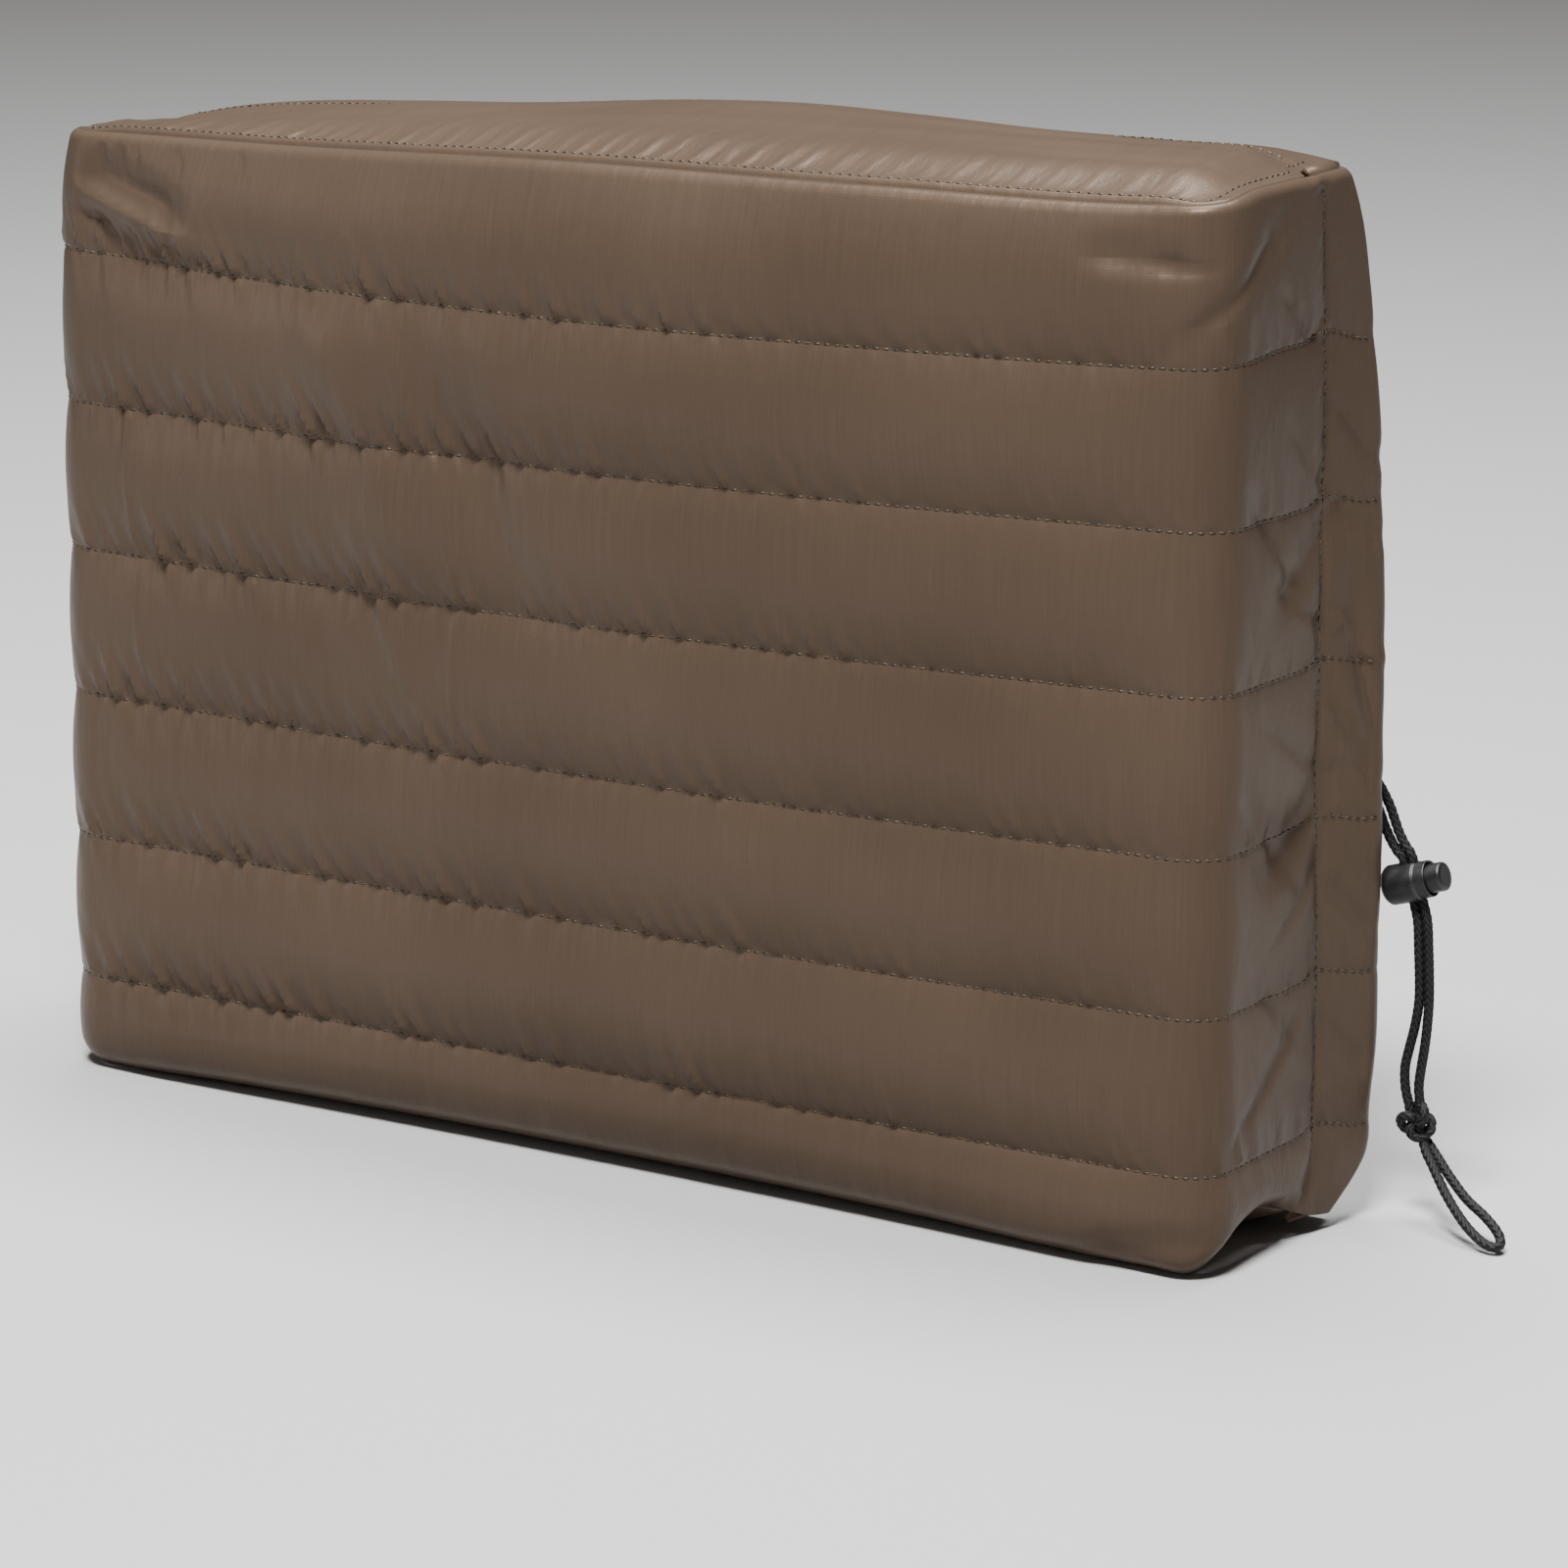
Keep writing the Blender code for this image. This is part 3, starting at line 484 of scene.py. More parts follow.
def half_plan(height, flare_column):
    """One half of the wall at a height, seen from above."""
    front, corner, side = half_lengths()
    flare = math.radians(float(through(WALL, flare_column, height)))
    side = side + float(through(WALL, 3, height))
    hem = CASING * float(through(WALL, 4, height))
    stitch = front + corner + side
    stretches = (
        (0.0, front, FRONT_STEPS),
        (front, front + corner, CORNER_STEPS),
        (front + corner, stitch, SIDE_STEPS),
        (stitch, stitch + hem, CASING_STEPS),
    )
    stations = np.concatenate(
        [[0.0]] + [start + (end - start) * np.arange(1, steps + 1) / steps for start, end, steps in stretches]
    )
    fine = np.linspace(0.0, stitch + hem, FINE_STEPS + 1)
    turned = np.clip((fine - front) / corner, 0.0, 1.0) * (math.pi / 2 - SIDE_LEAN)
    heading = turned - flare * smooth((fine - stitch + HEM_BEND / 2) / HEM_BEND)
    step = fine[1] - fine[0]
    middle = 0.5 * (heading[1:] + heading[:-1])
    x = np.concatenate([[0.0], np.cumsum(np.cos(middle)) * step])
    y = np.concatenate([[0.0], np.cumsum(np.sin(middle)) * step])
    place = [np.interp(stations, fine, values) for values in (x, y, heading)]
    return stations, *place, stitch


def front_bulge(x, height):
    across = np.clip(np.abs(x) / (WIDTH / 2), 0.0, 1.0)
    return through(FRONT_BULGE, 1, height) * np.cos(across * math.pi / 2) ** BULGE_ROUND


def fold_radius(height):
    from_end = np.minimum(height, HEIGHT - height)
    return PINCHED_FOLD + (FOLD_RADIUS - PINCHED_FOLD) * smooth(from_end / 0.022)


def fold_back(end, along, inwards, radius, length):
    """A hem from its back edge: round the fold, then back along the inside."""
    angles = math.pi * np.arange(1, FOLD_STEPS + 1) / FOLD_STEPS
    bend = end + np.outer(np.sin(angles) * radius, along) + np.outer((1 - np.cos(angles)) * radius, inwards)
    turned = end + inwards * 2 * radius
    shares = np.arange(1, RETURN_STEPS + 1) / RETURN_STEPS
    closing = -(2 * radius - 2 * SHEET - LAYER_GAP) * FOLD_CLOSING * smooth((shares - 0.7) / 0.3)
    back = turned - np.outer(shares * length, along) + np.outer(closing, inwards)
    return np.concatenate([bend, back])


def wall_half_row(height, roll_in, side):
    """One half of a row as (smooth points, points with every wrinkle, places along the wall)."""
    flare_column = 1 if side > 0 else 2
    stations, x, y, heading, stitch = half_plan(height, flare_column)
    along_wall = stations * side
    on_hem = smooth((stations - stitch + HEM_BEND) / HEM_BEND)
    fullness = SIDE_PUFF + (FRONT_PUFF - SIDE_PUFF) * smooth((FRONT_END - stations) / FULLNESS_CHANGE)
    puff = channel_puff(height) * (fullness + (PINCHED_PUFF - fullness) * on_hem)
    low = height < BOTTOM_CURL
    inset = roll_in * (1 - on_hem) if low else roll_in
    if low and side < 0:
        inset = inset * (1 - LEFT_CURL_LOST * smooth((stations - LEFT_CURL_START) / LEFT_CURL_CHANGE))
    folds = crease_rise(CREASES, along_wall, height) * (1 - CREASES_LOST * on_hem)
    wrinkles = crease_rise(SMALL_CREASES, along_wall, height) + pucker_rise(along_wall, height)
    from_seam = stations - stitch
    beside = fade(from_seam, CASING_GATHER_REACH) * smooth(np.abs(from_seam) / LINE_DENT)
    beside = beside * read_ridges(CASING_PUCKERS[side], height - CASING_GATHER_LEAN * from_seam)
    dent = SEAM_DENT * fade(from_seam, SEAM_DENT_HALF) * channel_puff(height)
    wrinkles = wrinkles * (1 - WRINKLES_LOST * on_hem) - dent + CASING_GATHER * beside
    to_line = smooth((height - line_height(LINES - 2)) / PITCH)
    to_top = smooth((height - line_height(LINES - 1)) / (HEIGHT - line_height(LINES - 1)))
    to_bottom = smooth(1 - height / FIRST_LINE)
    rise = through(LEVELS, 1, along_wall) * to_top
    rise = rise + through(LEVELS, 2, along_wall) * to_line * (1 - to_top)
    rise = rise + through(LEVELS, 3, along_wall) * to_bottom
    sag = HEM_SAG * on_hem * (1 - smooth(from_seam / (CASING * 0.9)) * SAG_TURN)
    inside = smooth(height / 0.03) * smooth((HEIGHT - height) / 0.03)
    pz = height + rise + sag * inside
    made = []
    for extra in (0.0, wrinkles):
        out = puff + folds + extra - inset
        px = x + np.sin(heading) * out
        py = y - np.cos(heading) * out - front_bulge(x, height)
        if side < 0:
            px = px + through(WALL, 5, height) * smooth(px / (WIDTH / 2))
        outer = np.stack([px, py, pz], axis=-1)
        along = np.array((math.cos(heading[-1]), math.sin(heading[-1]), 0.0))
        inwards = np.array((-math.sin(heading[-1]), math.cos(heading[-1]), 0.0))
        length = RETURN * (LOW_RETURN if low else 1.0)
        hem = fold_back(outer[-1], along, inwards, float(fold_radius(height)), length)
        made.append(np.concatenate([outer, hem]) * np.array((side, 1.0, 1.0)))
    past = stations[-1] + steps_along(made[0][len(stations) - 1 :])[1:]
    return made[0], made[1], np.concatenate([stations, past]) * side


def steps_along(points):
    """The length run at each point of a line, from its start."""
    return np.concatenate([[0.0], np.cumsum(np.linalg.norm(np.diff(points, axis=0), axis=1))])


def surface_normals(points):
    """Outward normals of a grid of points whose rows run to the right as seen from outside."""
    across = np.gradient(points, axis=1)
    up = np.gradient(points, axis=0)
    normals = np.cross(across, up)
    return normals / np.maximum(np.linalg.norm(normals, axis=2, keepdims=True), 1e-12)


def set_grid(shape, made, points):
    """Places the vertices of a new grid on points, and gives the vertices back in the same order."""
    rows, columns = points.shape[:2]
    order = np.empty((rows, columns), dtype=object)
    for vertex in made["verts"]:
        i = round((vertex.co.x + 1) / 2 * (columns - 1))
        j = round((vertex.co.y + 1) / 2 * (rows - 1))
        order[j, i] = vertex
    for j in range(rows):
        for i in range(columns):
            order[j, i].co = points[j, i]
    return order


def mesh_to_piece(name, mesh, finish):
    mesh.materials.append(finish)
    mesh.shade_smooth()
    piece = bpy.data.objects.new(name, mesh)
    bpy.context.collection.objects.link(piece)
    return piece


def shape_to_piece(name, shape, finish):
    mesh = bpy.data.meshes.new(name)
    shape.to_mesh(mesh)
    shape.free()
    return mesh_to_piece(name, mesh, finish)


def cloth_piece(name, points, smooth_points, pattern, finish):
    """Closed cloth: a fine outer face, a coarser inner face one thickness inside, and the rim between."""
    rows, columns = points.shape[:2]
    inner = smooth_points - surface_normals(smooth_points) * SHEET
    inner = inner[::INNER_ROWS, ::INNER_COLUMNS]
    shape = bmesh.new()
    made = bmesh.ops.create_grid(shape, x_segments=columns - 1, y_segments=rows - 1, size=1.0)
    outside = set_grid(shape, made, points - ORIGIN)
    faces_out = set(shape.faces)
    inner_rows, inner_columns = inner.shape[:2]
    made = bmesh.ops.create_grid(shape, x_segments=inner_columns - 1, y_segments=inner_rows - 1, size=1.0)
    inside = set_grid(shape, made, inner - ORIGIN)
    bmesh.ops.reverse_faces(shape, faces=[face for face in shape.faces if face not in faces_out])
    rims = (
        (outside[0, :], inside[0, :], INNER_COLUMNS, True),
        (outside[-1, :], inside[-1, :], INNER_COLUMNS, False),
        (outside[:, 0], inside[:, 0], INNER_ROWS, False),
        (outside[:, -1], inside[:, -1], INNER_ROWS, True),
    )
    for fine, coarse, step, forward in rims:
        for k in range(len(coarse) - 1):
            ring = list(fine[k * step : (k + 1) * step + 1]) + [coarse[k + 1], coarse[k]]
            shape.faces.new(ring[::-1] if forward else ring)
    mesh = bpy.data.meshes.new(name)
    shape.verts.index_update()
    places = np.zeros((len(shape.verts), 2))
    for grid, on_grid in ((outside, pattern), (inside, pattern[::INNER_ROWS, ::INNER_COLUMNS])):
        for j in range(grid.shape[0]):
            for i in range(grid.shape[1]):
                places[grid[j, i].index] = on_grid[j, i]
    shape.to_mesh(mesh)
    shape.free()
    layer = mesh.uv_layers.new(name="cloth")
    corners = np.zeros(len(mesh.loops), dtype=np.int64)
    mesh.loops.foreach_get("vertex_index", corners)
    layer.data.foreach_set("uv", places[corners].astype(np.float32).ravel())
    return mesh_to_piece(name, mesh, finish)


def build_wall(finish):
    smooth_rows, rows, alongs, heights = [], [], [], []
    for height, roll_in in row_stations():
        left_base, left, left_along = wall_half_row(height, roll_in, -1)
        right_base, right, right_along = wall_half_row(height, roll_in, 1)
        smooth_rows.append(np.concatenate([left_base[::-1], right_base[1:]]))
        rows.append(np.concatenate([left[::-1], right[1:]]))
        alongs.append(np.concatenate([left_along[::-1], right_along[1:]]))
        heights.append(np.full(len(alongs[-1]), height))
    points = np.stack(rows)
    pattern = np.stack([np.stack(alongs), np.stack(heights)], axis=-1)
    return cloth_piece("front_and_side_cloth", points, np.stack(smooth_rows), pattern, finish), points


class SeamOutline:
    """The wall's edge at a seam, seen from above and drawn in by a gap, for the panel sewn in there."""

    def __init__(self, height, roll_in, seam_gap):
        self.middle = FRONT_STEPS + CORNER_STEPS // 2
        self.halves = {}
        for side in (-1, 1):
            row = wall_half_row(height, roll_in, side)[0]
            row = row[: FRONT_STEPS + CORNER_STEPS + SIDE_STEPS + CASING_STEPS + 1]
            x, y = np.abs(row[:, 0]), row[:, 1]
            run_x, run_y = np.gradient(x), np.gradient(y)
            length = np.hypot(run_x, run_y)
            stations = half_plan(height, 1 if side > 0 else 2)[0]
            self.halves[side] = (x - run_y / length * seam_gap, y + run_x / length * seam_gap, stations)

    def by_side(self, side, read):
        return np.where(side > 0, read(*self.halves[1]), read(*self.halves[-1]))

    def front(self, x):
        m = self.middle + 1
        return self.by_side(x, lambda places, depths, _: np.interp(np.abs(x), places[:m], depths[:m]))

    def half_width(self, side, depth):
        m = self.middle
        edge = self.by_side(side, lambda places, depths, _: np.interp(depth, depths[m:], places[m:]))
        return edge - 2 * PINCHED_FOLD * smooth((depth - SIDE + 0.012) / 0.007)

    def level(self, column, share, x, depth):
        m = self.middle
        along = self.by_side(
            x, lambda places, _, stations: np.interp(np.abs(x), places[: m + 1], stations[: m + 1])
        )
        level = through(LEVELS, column, np.where(x >= 0, 1, -1) * along)
        for side in (-1, 1):
            _, depths, stations = self.halves[side]
            beside = np.interp(depth, depths[m:], stations[m:])
            at_corner = through(LEVELS, column, side * stations[m])
            past_corner = through(LEVELS, column, side * beside) - at_corner
            level = level + past_corner * ((1 + side * share) / 2) ** 4
        return level


def sewn_panel(
    name, finish, outline, shares, depth_shares, back, height_at, wrinkles_at, hem_of, turned_over
):
    """A panel sewn in at a seam, with its hem folded at the back."""
    share, depth_share = np.meshgrid(shares, depth_shares)
    x = share * WIDTH / 2
    for _ in range(FITTING_ROUNDS):
        front = outline.front(x)
        depth = front + (back - front) * depth_share
        x = share * outline.half_width(share, depth)
    flat = np.stack([x, depth, height_at(outline, share, x, depth, depth_share)], axis=-1)
    lift = wrinkles_at(share, x, depth, depth - front, depth_share)
    both = []
    for surface in (flat, flat + np.stack([np.zeros_like(lift), np.zeros_like(lift), lift], axis=-1)):
        columns = []
        for k in range(len(shares)):
            points = surface[:, k]
            along = flat[-1, k] - flat[-2, k]
            along = np.array((0.0, along[1], along[2])) / np.hypot(along[1], along[2])
            inwards = np.array((0.0, along[2], -along[1])) * (-1 if turned_over else 1)
            radius, length = hem_of(shares[k])
            hem = fold_back(points[-1], along, inwards, radius, length)
            side = np.full(len(hem), 1.0 if shares[k] >= 0 else -1.0)
            hem[:, 0] = shares[k] * outline.half_width(side, hem[:, 1])
            columns.append(np.concatenate([points, hem]))
        grid = np.stack(columns, axis=1)
        both.append(grid[:, ::-1] if turned_over else grid)
    smooth_points, points = both
    run = steps_along(points[:, len(shares) // 2])
    pattern = np.stack([points[:, :, 0], np.broadcast_to(run[:, None], points.shape[:2])], axis=-1)
    return cloth_piece(name, points, smooth_points, pattern, finish), points


def top_height(outline, share, x, depth, depth_share):
    """Height of the top panel: a sloped strip at the seam, a swell beyond it, then a low arch to the back."""
    from_seam = depth - outline.front(x)
    to_side = smooth((1 - np.abs(share)) / 0.10)
    to_back = smooth(depth_share / 0.95)
    fullness = through(TOP_BACK, 2, x)
    strip = STRIP_RISE * smooth(from_seam / STRIP_RUN) * (1 - to_back)
    swell = TOP_SWELL * smooth((from_seam - STRIP_RUN) / TOP_SWELL_RUN) * (1 - depth_share) ** 0.5
    arch = TOP_ARCH * np.sin(math.pi * depth_share) ** 1.2
    level = outline.level(1, share, x, depth)
    level = level + (through(TOP_BACK, 1, x) - level) * to_back
    edge = HEIGHT - TOP_ROLL * (1 - math.sin(TOP_ROLL_ANGLE))
    tucked = -TOP_TUCK * (1 - smooth(from_seam / TOP_TUCK_RUN)) * smooth(1 - depth_share * 4)
    return edge + level + tucked + (strip + (swell + arch) * fullness) * to_side


# x_1, depth_1, x_2, depth_2, half_width, rise
TOP_CREASES = (
    (-0.020, 0.074, 0.062, 0.070, 0.0016, -0.0010),
    (0.062, 0.070, 0.098, 0.066, 0.0014, -0.0009),
    (0.020, 0.050, 0.150, 0.056, 0.0030, 0.0009),
    (0.060, 0.030, 0.170, 0.040, 0.0040, 0.0008),
    (0.090, 0.046, 0.190, 0.050, 0.0018, -0.0007),
    (0.120, 0.022, 0.200, 0.026, 0.0030, -0.0007),
    (-0.190, 0.020, -0.120, 0.040, 0.0050, 0.0008),
    (-0.110, 0.030, -0.020, 0.046, 0.0050, -0.0008),
    (-0.060, 0.018, 0.040, 0.030, 0.0040, 0.0007),
    (-0.214, 0.012, -0.196, 0.014, 0.0030, 0.0012),
    (0.150, 0.062, 0.205, 0.058, 0.0022, 0.0007),
)


def top_wrinkles(share, x, depth, from_seam, depth_share):
    own = PUCKERS[LINES]
    strength = through(PUCKER_STRENGTH, 1, x) * smooth((1 - np.abs(share)) / 0.04)
    at = x - 0.30 * from_seam
    behind = smooth((from_seam - 0.0028) / 0.0020)
    lift = strength * behind * sum(gathered(own, kind, at, from_seam) for kind in BEHIND_SEAM)
    from_stitch = depth - TOP_CASING_STITCH
    lift = lift - TOP_STITCH_DENT * fade(from_stitch, SEAM_DENT_HALF)
    beside = fade(from_stitch, TOP_STITCH_GATHER_REACH) * smooth(np.abs(from_stitch) / 0.0015)
    lift = lift + TOP_STITCH_GATHER * beside * read_ridges(own["short_below"], x + 0.2 * from_stitch)
    lift = lift + crease_rise(TOP_CREASES, x, depth)
    return lift * smooth((1 - np.abs(share)) / 0.03)


def build_top(finish):
    outline = SeamOutline(*row_stations()[-1], TOP_SEAM_GAP)
    between = np.linspace(-0.94, 0.94, 425)
    corner = np.array([0.95, 0.96, 0.97, 0.978, 0.985, 0.99, 0.995, 1.0])
    shares = np.concatenate([-corner[::-1], between, corner])
    near = [0.0, 0.006, 0.013, 0.021, 0.030, 0.040, 0.052, 0.066, 0.083, 0.104, 0.13, 0.16, 0.20]
    depth_shares = np.concatenate([near, np.linspace(0.25, 1.0, 24)])
    return sewn_panel(
        "top_cloth",
        finish,
        outline,
        shares,
        depth_shares,
        TOP_BACK_EDGE,
        top_height,
        top_wrinkles,
        lambda share: (
            PINCHED_FOLD + (FOLD_RADIUS - PINCHED_FOLD) * float(smooth((1 - abs(share)) / 0.12)),
            RETURN * 0.9,
        ),
        False,
    )


def bottom_height(outline, share, x, depth, depth_share):
    return outline.level(3, share, x, depth) * np.maximum(np.abs(share) ** 16, (1 - depth_share) ** 4)


def bottom_wrinkles(share, x, depth, from_seam, depth_share):
    own = PUCKERS[0]
    small = read_ridges(own["short_above"], x) * 0.00025 * fade(from_seam, 0.006)
    soft = read_ridges(own["wide"], x + 0.6 * depth) * 0.0004 * np.sin(math.pi * depth_share)
    return -(small + soft) * smooth((1 - np.abs(share)) / 0.06)


def build_bottom(finish):
    outline = SeamOutline(*row_stations()[0], BOTTOM_SEAM_GAP)
    between = np.linspace(-0.94, 0.94, 189)
    corner = np.array([0.952, 0.962, 0.972, 0.98, 0.988, 1.0])
    shares = np.concatenate([-corner[::-1], between, corner])
    depth_shares = np.concatenate([[0.0, 0.02, 0.05, 0.09, 0.14], np.linspace(0.2, 1.0, 20)])
    return sewn_panel(
        "bottom_cloth",
        finish,
        outline,
        shares,
        depth_shares,
        BOTTOM_BACK_EDGE,
        bottom_height,
        bottom_wrinkles,
        lambda share: (PINCHED_FOLD, RETURN * 0.8),
        True,
    )


# ---- stitches


STITCH_HALF = 0.00128
THREAD_HALF = 0.00034
THREAD_BOW = 0.00022
THREAD_LIFT = 0.35
TOPSTITCH = 4  # columns in from the panel's ends, and one row more from its front edge


def stitch_frames(line, normals):
    """Where each stitch of a row lies on the cloth: its middle, and its directions along, beside and out."""
    runs = steps_along(line)
    at = np.arange(STITCH_PITCH * 0.5, runs[-1] - STITCH_PITCH * 0.3, STITCH_PITCH)

    def read(values, places):
        return np.stack([np.interp(places, runs, values[:, k]) for k in range(3)], axis=-1)

    start, end = read(line, at - STITCH_HALF), read(line, at + STITCH_HALF)
    along = end - start
    along /= np.linalg.norm(along, axis=1, keepdims=True)
    out = read(normals, at)
    out -= along * np.sum(out * along, axis=1, keepdims=True)
    out /= np.linalg.norm(out, axis=1, keepdims=True)
    middle = (start + end) / 2 + out * THREAD_HALF * THREAD_LIFT - ORIGIN
    return middle, along, np.cross(out, along), out


def stitch_piece(name, rows, finish):
    """Thread stitches along several rows as one piece. Each lies bowed, its ends pulled into the cloth."""
    one = bmesh.new()
    lying = Matrix.Rotation(math.pi / 2, 4, "Y")
    bmesh.ops.create_uvsphere(one, u_segments=6, v_segments=6, radius=1.0, matrix=lying)
    one.verts.index_update()
    form = np.array([vertex.co[:] for vertex in one.verts])
    faces = [[vertex.index for vertex in face.verts] for face in one.faces]
    one.free()
    bow = -THREAD_BOW * form[:, 0] ** 2
    middle, along, beside, out = (np.concatenate(part) for part in zip(*rows))
    places = (
        middle[:, None, :]
        + along[:, None, :] * (form[:, 0] * STITCH_HALF)[None, :, None]
        + beside[:, None, :] * (form[:, 1] * THREAD_HALF)[None, :, None]
        + out[:, None, :] * (form[:, 2] * THREAD_HALF + bow)[None, :, None]
    )
    joined = [[index + k * len(form) for index in face] for k in range(len(middle)) for face in faces]
    mesh = bpy.data.meshes.new(name)
    mesh.from_pydata(places.reshape(-1, 3).tolist(), [], joined)
    return mesh_to_piece(name, mesh, finish)


def build_stitches(wall_points, top_points, finish):
    """The quilting, the casing seams and the topstitching, each as rows of thread in one piece."""
    wall_normals = surface_normals(wall_points)
    top_normals = surface_normals(top_points)
    heights = np.array([height for height, _ in row_stations()])
    hem = FOLD_STEPS + RETURN_STEPS
    quilting = []
    for i in range(LINES):
        j = int(np.argmin(np.abs(heights - line_height(i))))
        quilting.append(stitch_frames(wall_points[j, hem:-hem], wall_normals[j, hem:-hem]))
    seam = hem + CASING_STEPS
    casing = [stitch_frames(wall_points[8:-4, k], wall_normals[8:-4, k]) for k in (seam, -1 - seam)]
    depths = top_points[: top_points.shape[0] - hem, top_points.shape[1] // 2, 1]
    back_row = int(np.argmin(np.abs(depths - TOP_CASING_STITCH)))
    casing.append(stitch_frames(top_points[back_row, 6:-6], top_normals[back_row, 6:-6]))
    k = TOPSTITCH
    topstitch = [stitch_frames(top_points[k + 1, k:-k], top_normals[k + 1, k:-k])]
    side_rows = slice(k + 1, back_row + k)
    for column in (k, -1 - k):
        topstitch.append(stitch_frames(top_points[side_rows, column], top_normals[side_rows, column]))
    return [
        stitch_piece("quilting_stitches", quilting, finish),
        stitch_piece("casing_stitches", casing, finish),
        stitch_piece("top_seam_stitches", topstitch, finish),
    ]


# ---- drawstring


def lock_point(forward, along_slot=0.0):
    axis = np.array((math.cos(LOCK_TILT), 0.0, math.sin(LOCK_TILT)))
    slot = np.array((-math.sin(LOCK_TILT), 0.0, math.cos(LOCK_TILT)))
    return LOCK_CENTRE + axis * (forward - BARREL_LENGTH / 2) + slot * along_slot


def through_lock(across):
    """Route points of a strand through the lock's slot."""
    return [tuple(lock_point(STRAND_PLACE + across, place)) for place in (0.0085, 0.0040, -0.0040, -0.0080)]


STRAND_1 = (
    (0.2268, 0.0891, 0.1408),
    (0.2267, 0.0912, 0.1406),
    (0.2268, 0.0938, 0.1392),
    (0.2283, 0.0951, 0.1358),
    (0.2303, 0.0953, 0.1320),
    (0.2319, 0.0953, 0.1282),
    (0.2335, 0.0953, 0.1243),
    (0.2356, 0.0953, 0.1206),
    *through_lock(STRAND_SPACING / 2),
    (0.2442, 0.0953, 0.0965),
    (0.2449, 0.0953, 0.0880),
    (0.2456, 0.0953, 0.0727),
    (0.2453, 0.0953, 0.0633),
    (0.2446, 0.0953, 0.0553),
    (0.2437, 0.0953, 0.0489),
    (0.2431, 0.0951, 0.0425),
    (0.2437, 0.0948, 0.0374),
)
STRAND_2 = (
    (0.2264, 0.0891, 0.1340),
    (0.2263, 0.0910, 0.1338),
    (0.2264, 0.0935, 0.1325),
    (0.2272, 0.0949, 0.1293),
    (0.2287, 0.0953, 0.1252),
    (0.2311, 0.0953, 0.1208),
    (0.2337, 0.0953, 0.1173),
    *through_lock(-STRAND_SPACING / 2),
    (0.2411, 0.0950, 0.0960),
    (0.2417, 0.0950, 0.0876),
    (0.2424, 0.0950, 0.0722),
    (0.2413, 0.0950, 0.0626),
    (0.2395, 0.0950, 0.0545),
    (0.2382, 0.0950, 0.0480),
    (0.2384, 0.0950, 0.0420),
    (0.2396, 0.0948, 0.0370),
)
LOOP = (
    (0.2460, 0.0938, 0.0240),
    (0.2479, 0.0917, 0.0220),
    (0.2506, 0.0897, 0.0197),
    (0.2541, 0.0870, 0.0165),
    (0.2582, 0.0840, 0.0129),
    (0.2632, 0.0808, 0.0090),
    (0.2682, 0.0781, 0.0056),
    (0.2730, 0.0761, 0.0030),
    (0.2771, 0.0749, 0.0015),
    (0.2800, 0.0751, 0.0012),
    (0.2808, 0.0769, 0.0019),
    (0.2797, 0.0787, 0.0036),
    (0.2768, 0.0805, 0.0058),
    (0.2722, 0.0824, 0.0084),
    (0.2674, 0.0840, 0.0106),
    (0.2632, 0.0859, 0.0128),
    (0.2592, 0.0881, 0.0153),
    (0.2552, 0.0906, 0.0178),
    (0.2515, 0.0934, 0.0200),
    (0.2481, 0.0957, 0.0222),
    (0.2456, 0.0970, 0.0240),
)


def smooth_route(points, spacing):
    """Evenly spaced points on a soft curve through a cord's route points."""
    knots = [np.array(p) for p in points]
    knots = [knots[0] * 2 - knots[1]] + knots + [knots[-1] * 2 - knots[-2]]
    fine = []
    for a, b, c, d in zip(knots, knots[1:], knots[2:], knots[3:]):
        for k in range(12):
            t = k / 12
            bend = (2 * a - 5 * b + 4 * c - d) * t * t + (3 * b - a - 3 * c + d) * t**3
            fine.append(0.5 * (2 * b + (c - a) * t + bend))
    fine.append(knots[-2])
    fine = np.array(fine)
    places = steps_along(fine)
    count = max(2, round(places[-1] / spacing))
    wanted = np.linspace(0.0, places[-1], count + 1)
    return np.stack([np.interp(wanted, places, fine[:, k]) for k in range(3)], axis=-1), places[-1]


BRAID_SIDES = 36
BRAID_STEP = 0.00026
BRAID_PITCH = 0.0024  # along the cord, between two crossings of the same yarns
BRAID_YARNS = 6
BRAID_EDGE = 1.4  # above 1 the yarns are narrow and the gaps between them wide
BRAID_CORE = 0.98
BRAID_DEPTH = 0.24


def braid_relief(around, run):
    """Height of a round braid's surface, 0 between the yarns and 1 on top of them, in a V pattern."""
    turn = BRAID_YARNS / 2 * around
    climb = math.pi * run / BRAID_PITCH
    leaning = np.abs(np.sin(turn + climb)) ** BRAID_EDGE
    other = np.abs(np.sin(turn - climb)) ** BRAID_EDGE
    over = 0.5 + 0.5 * np.cos(turn)
    return leaning * over + other * (1 - over)


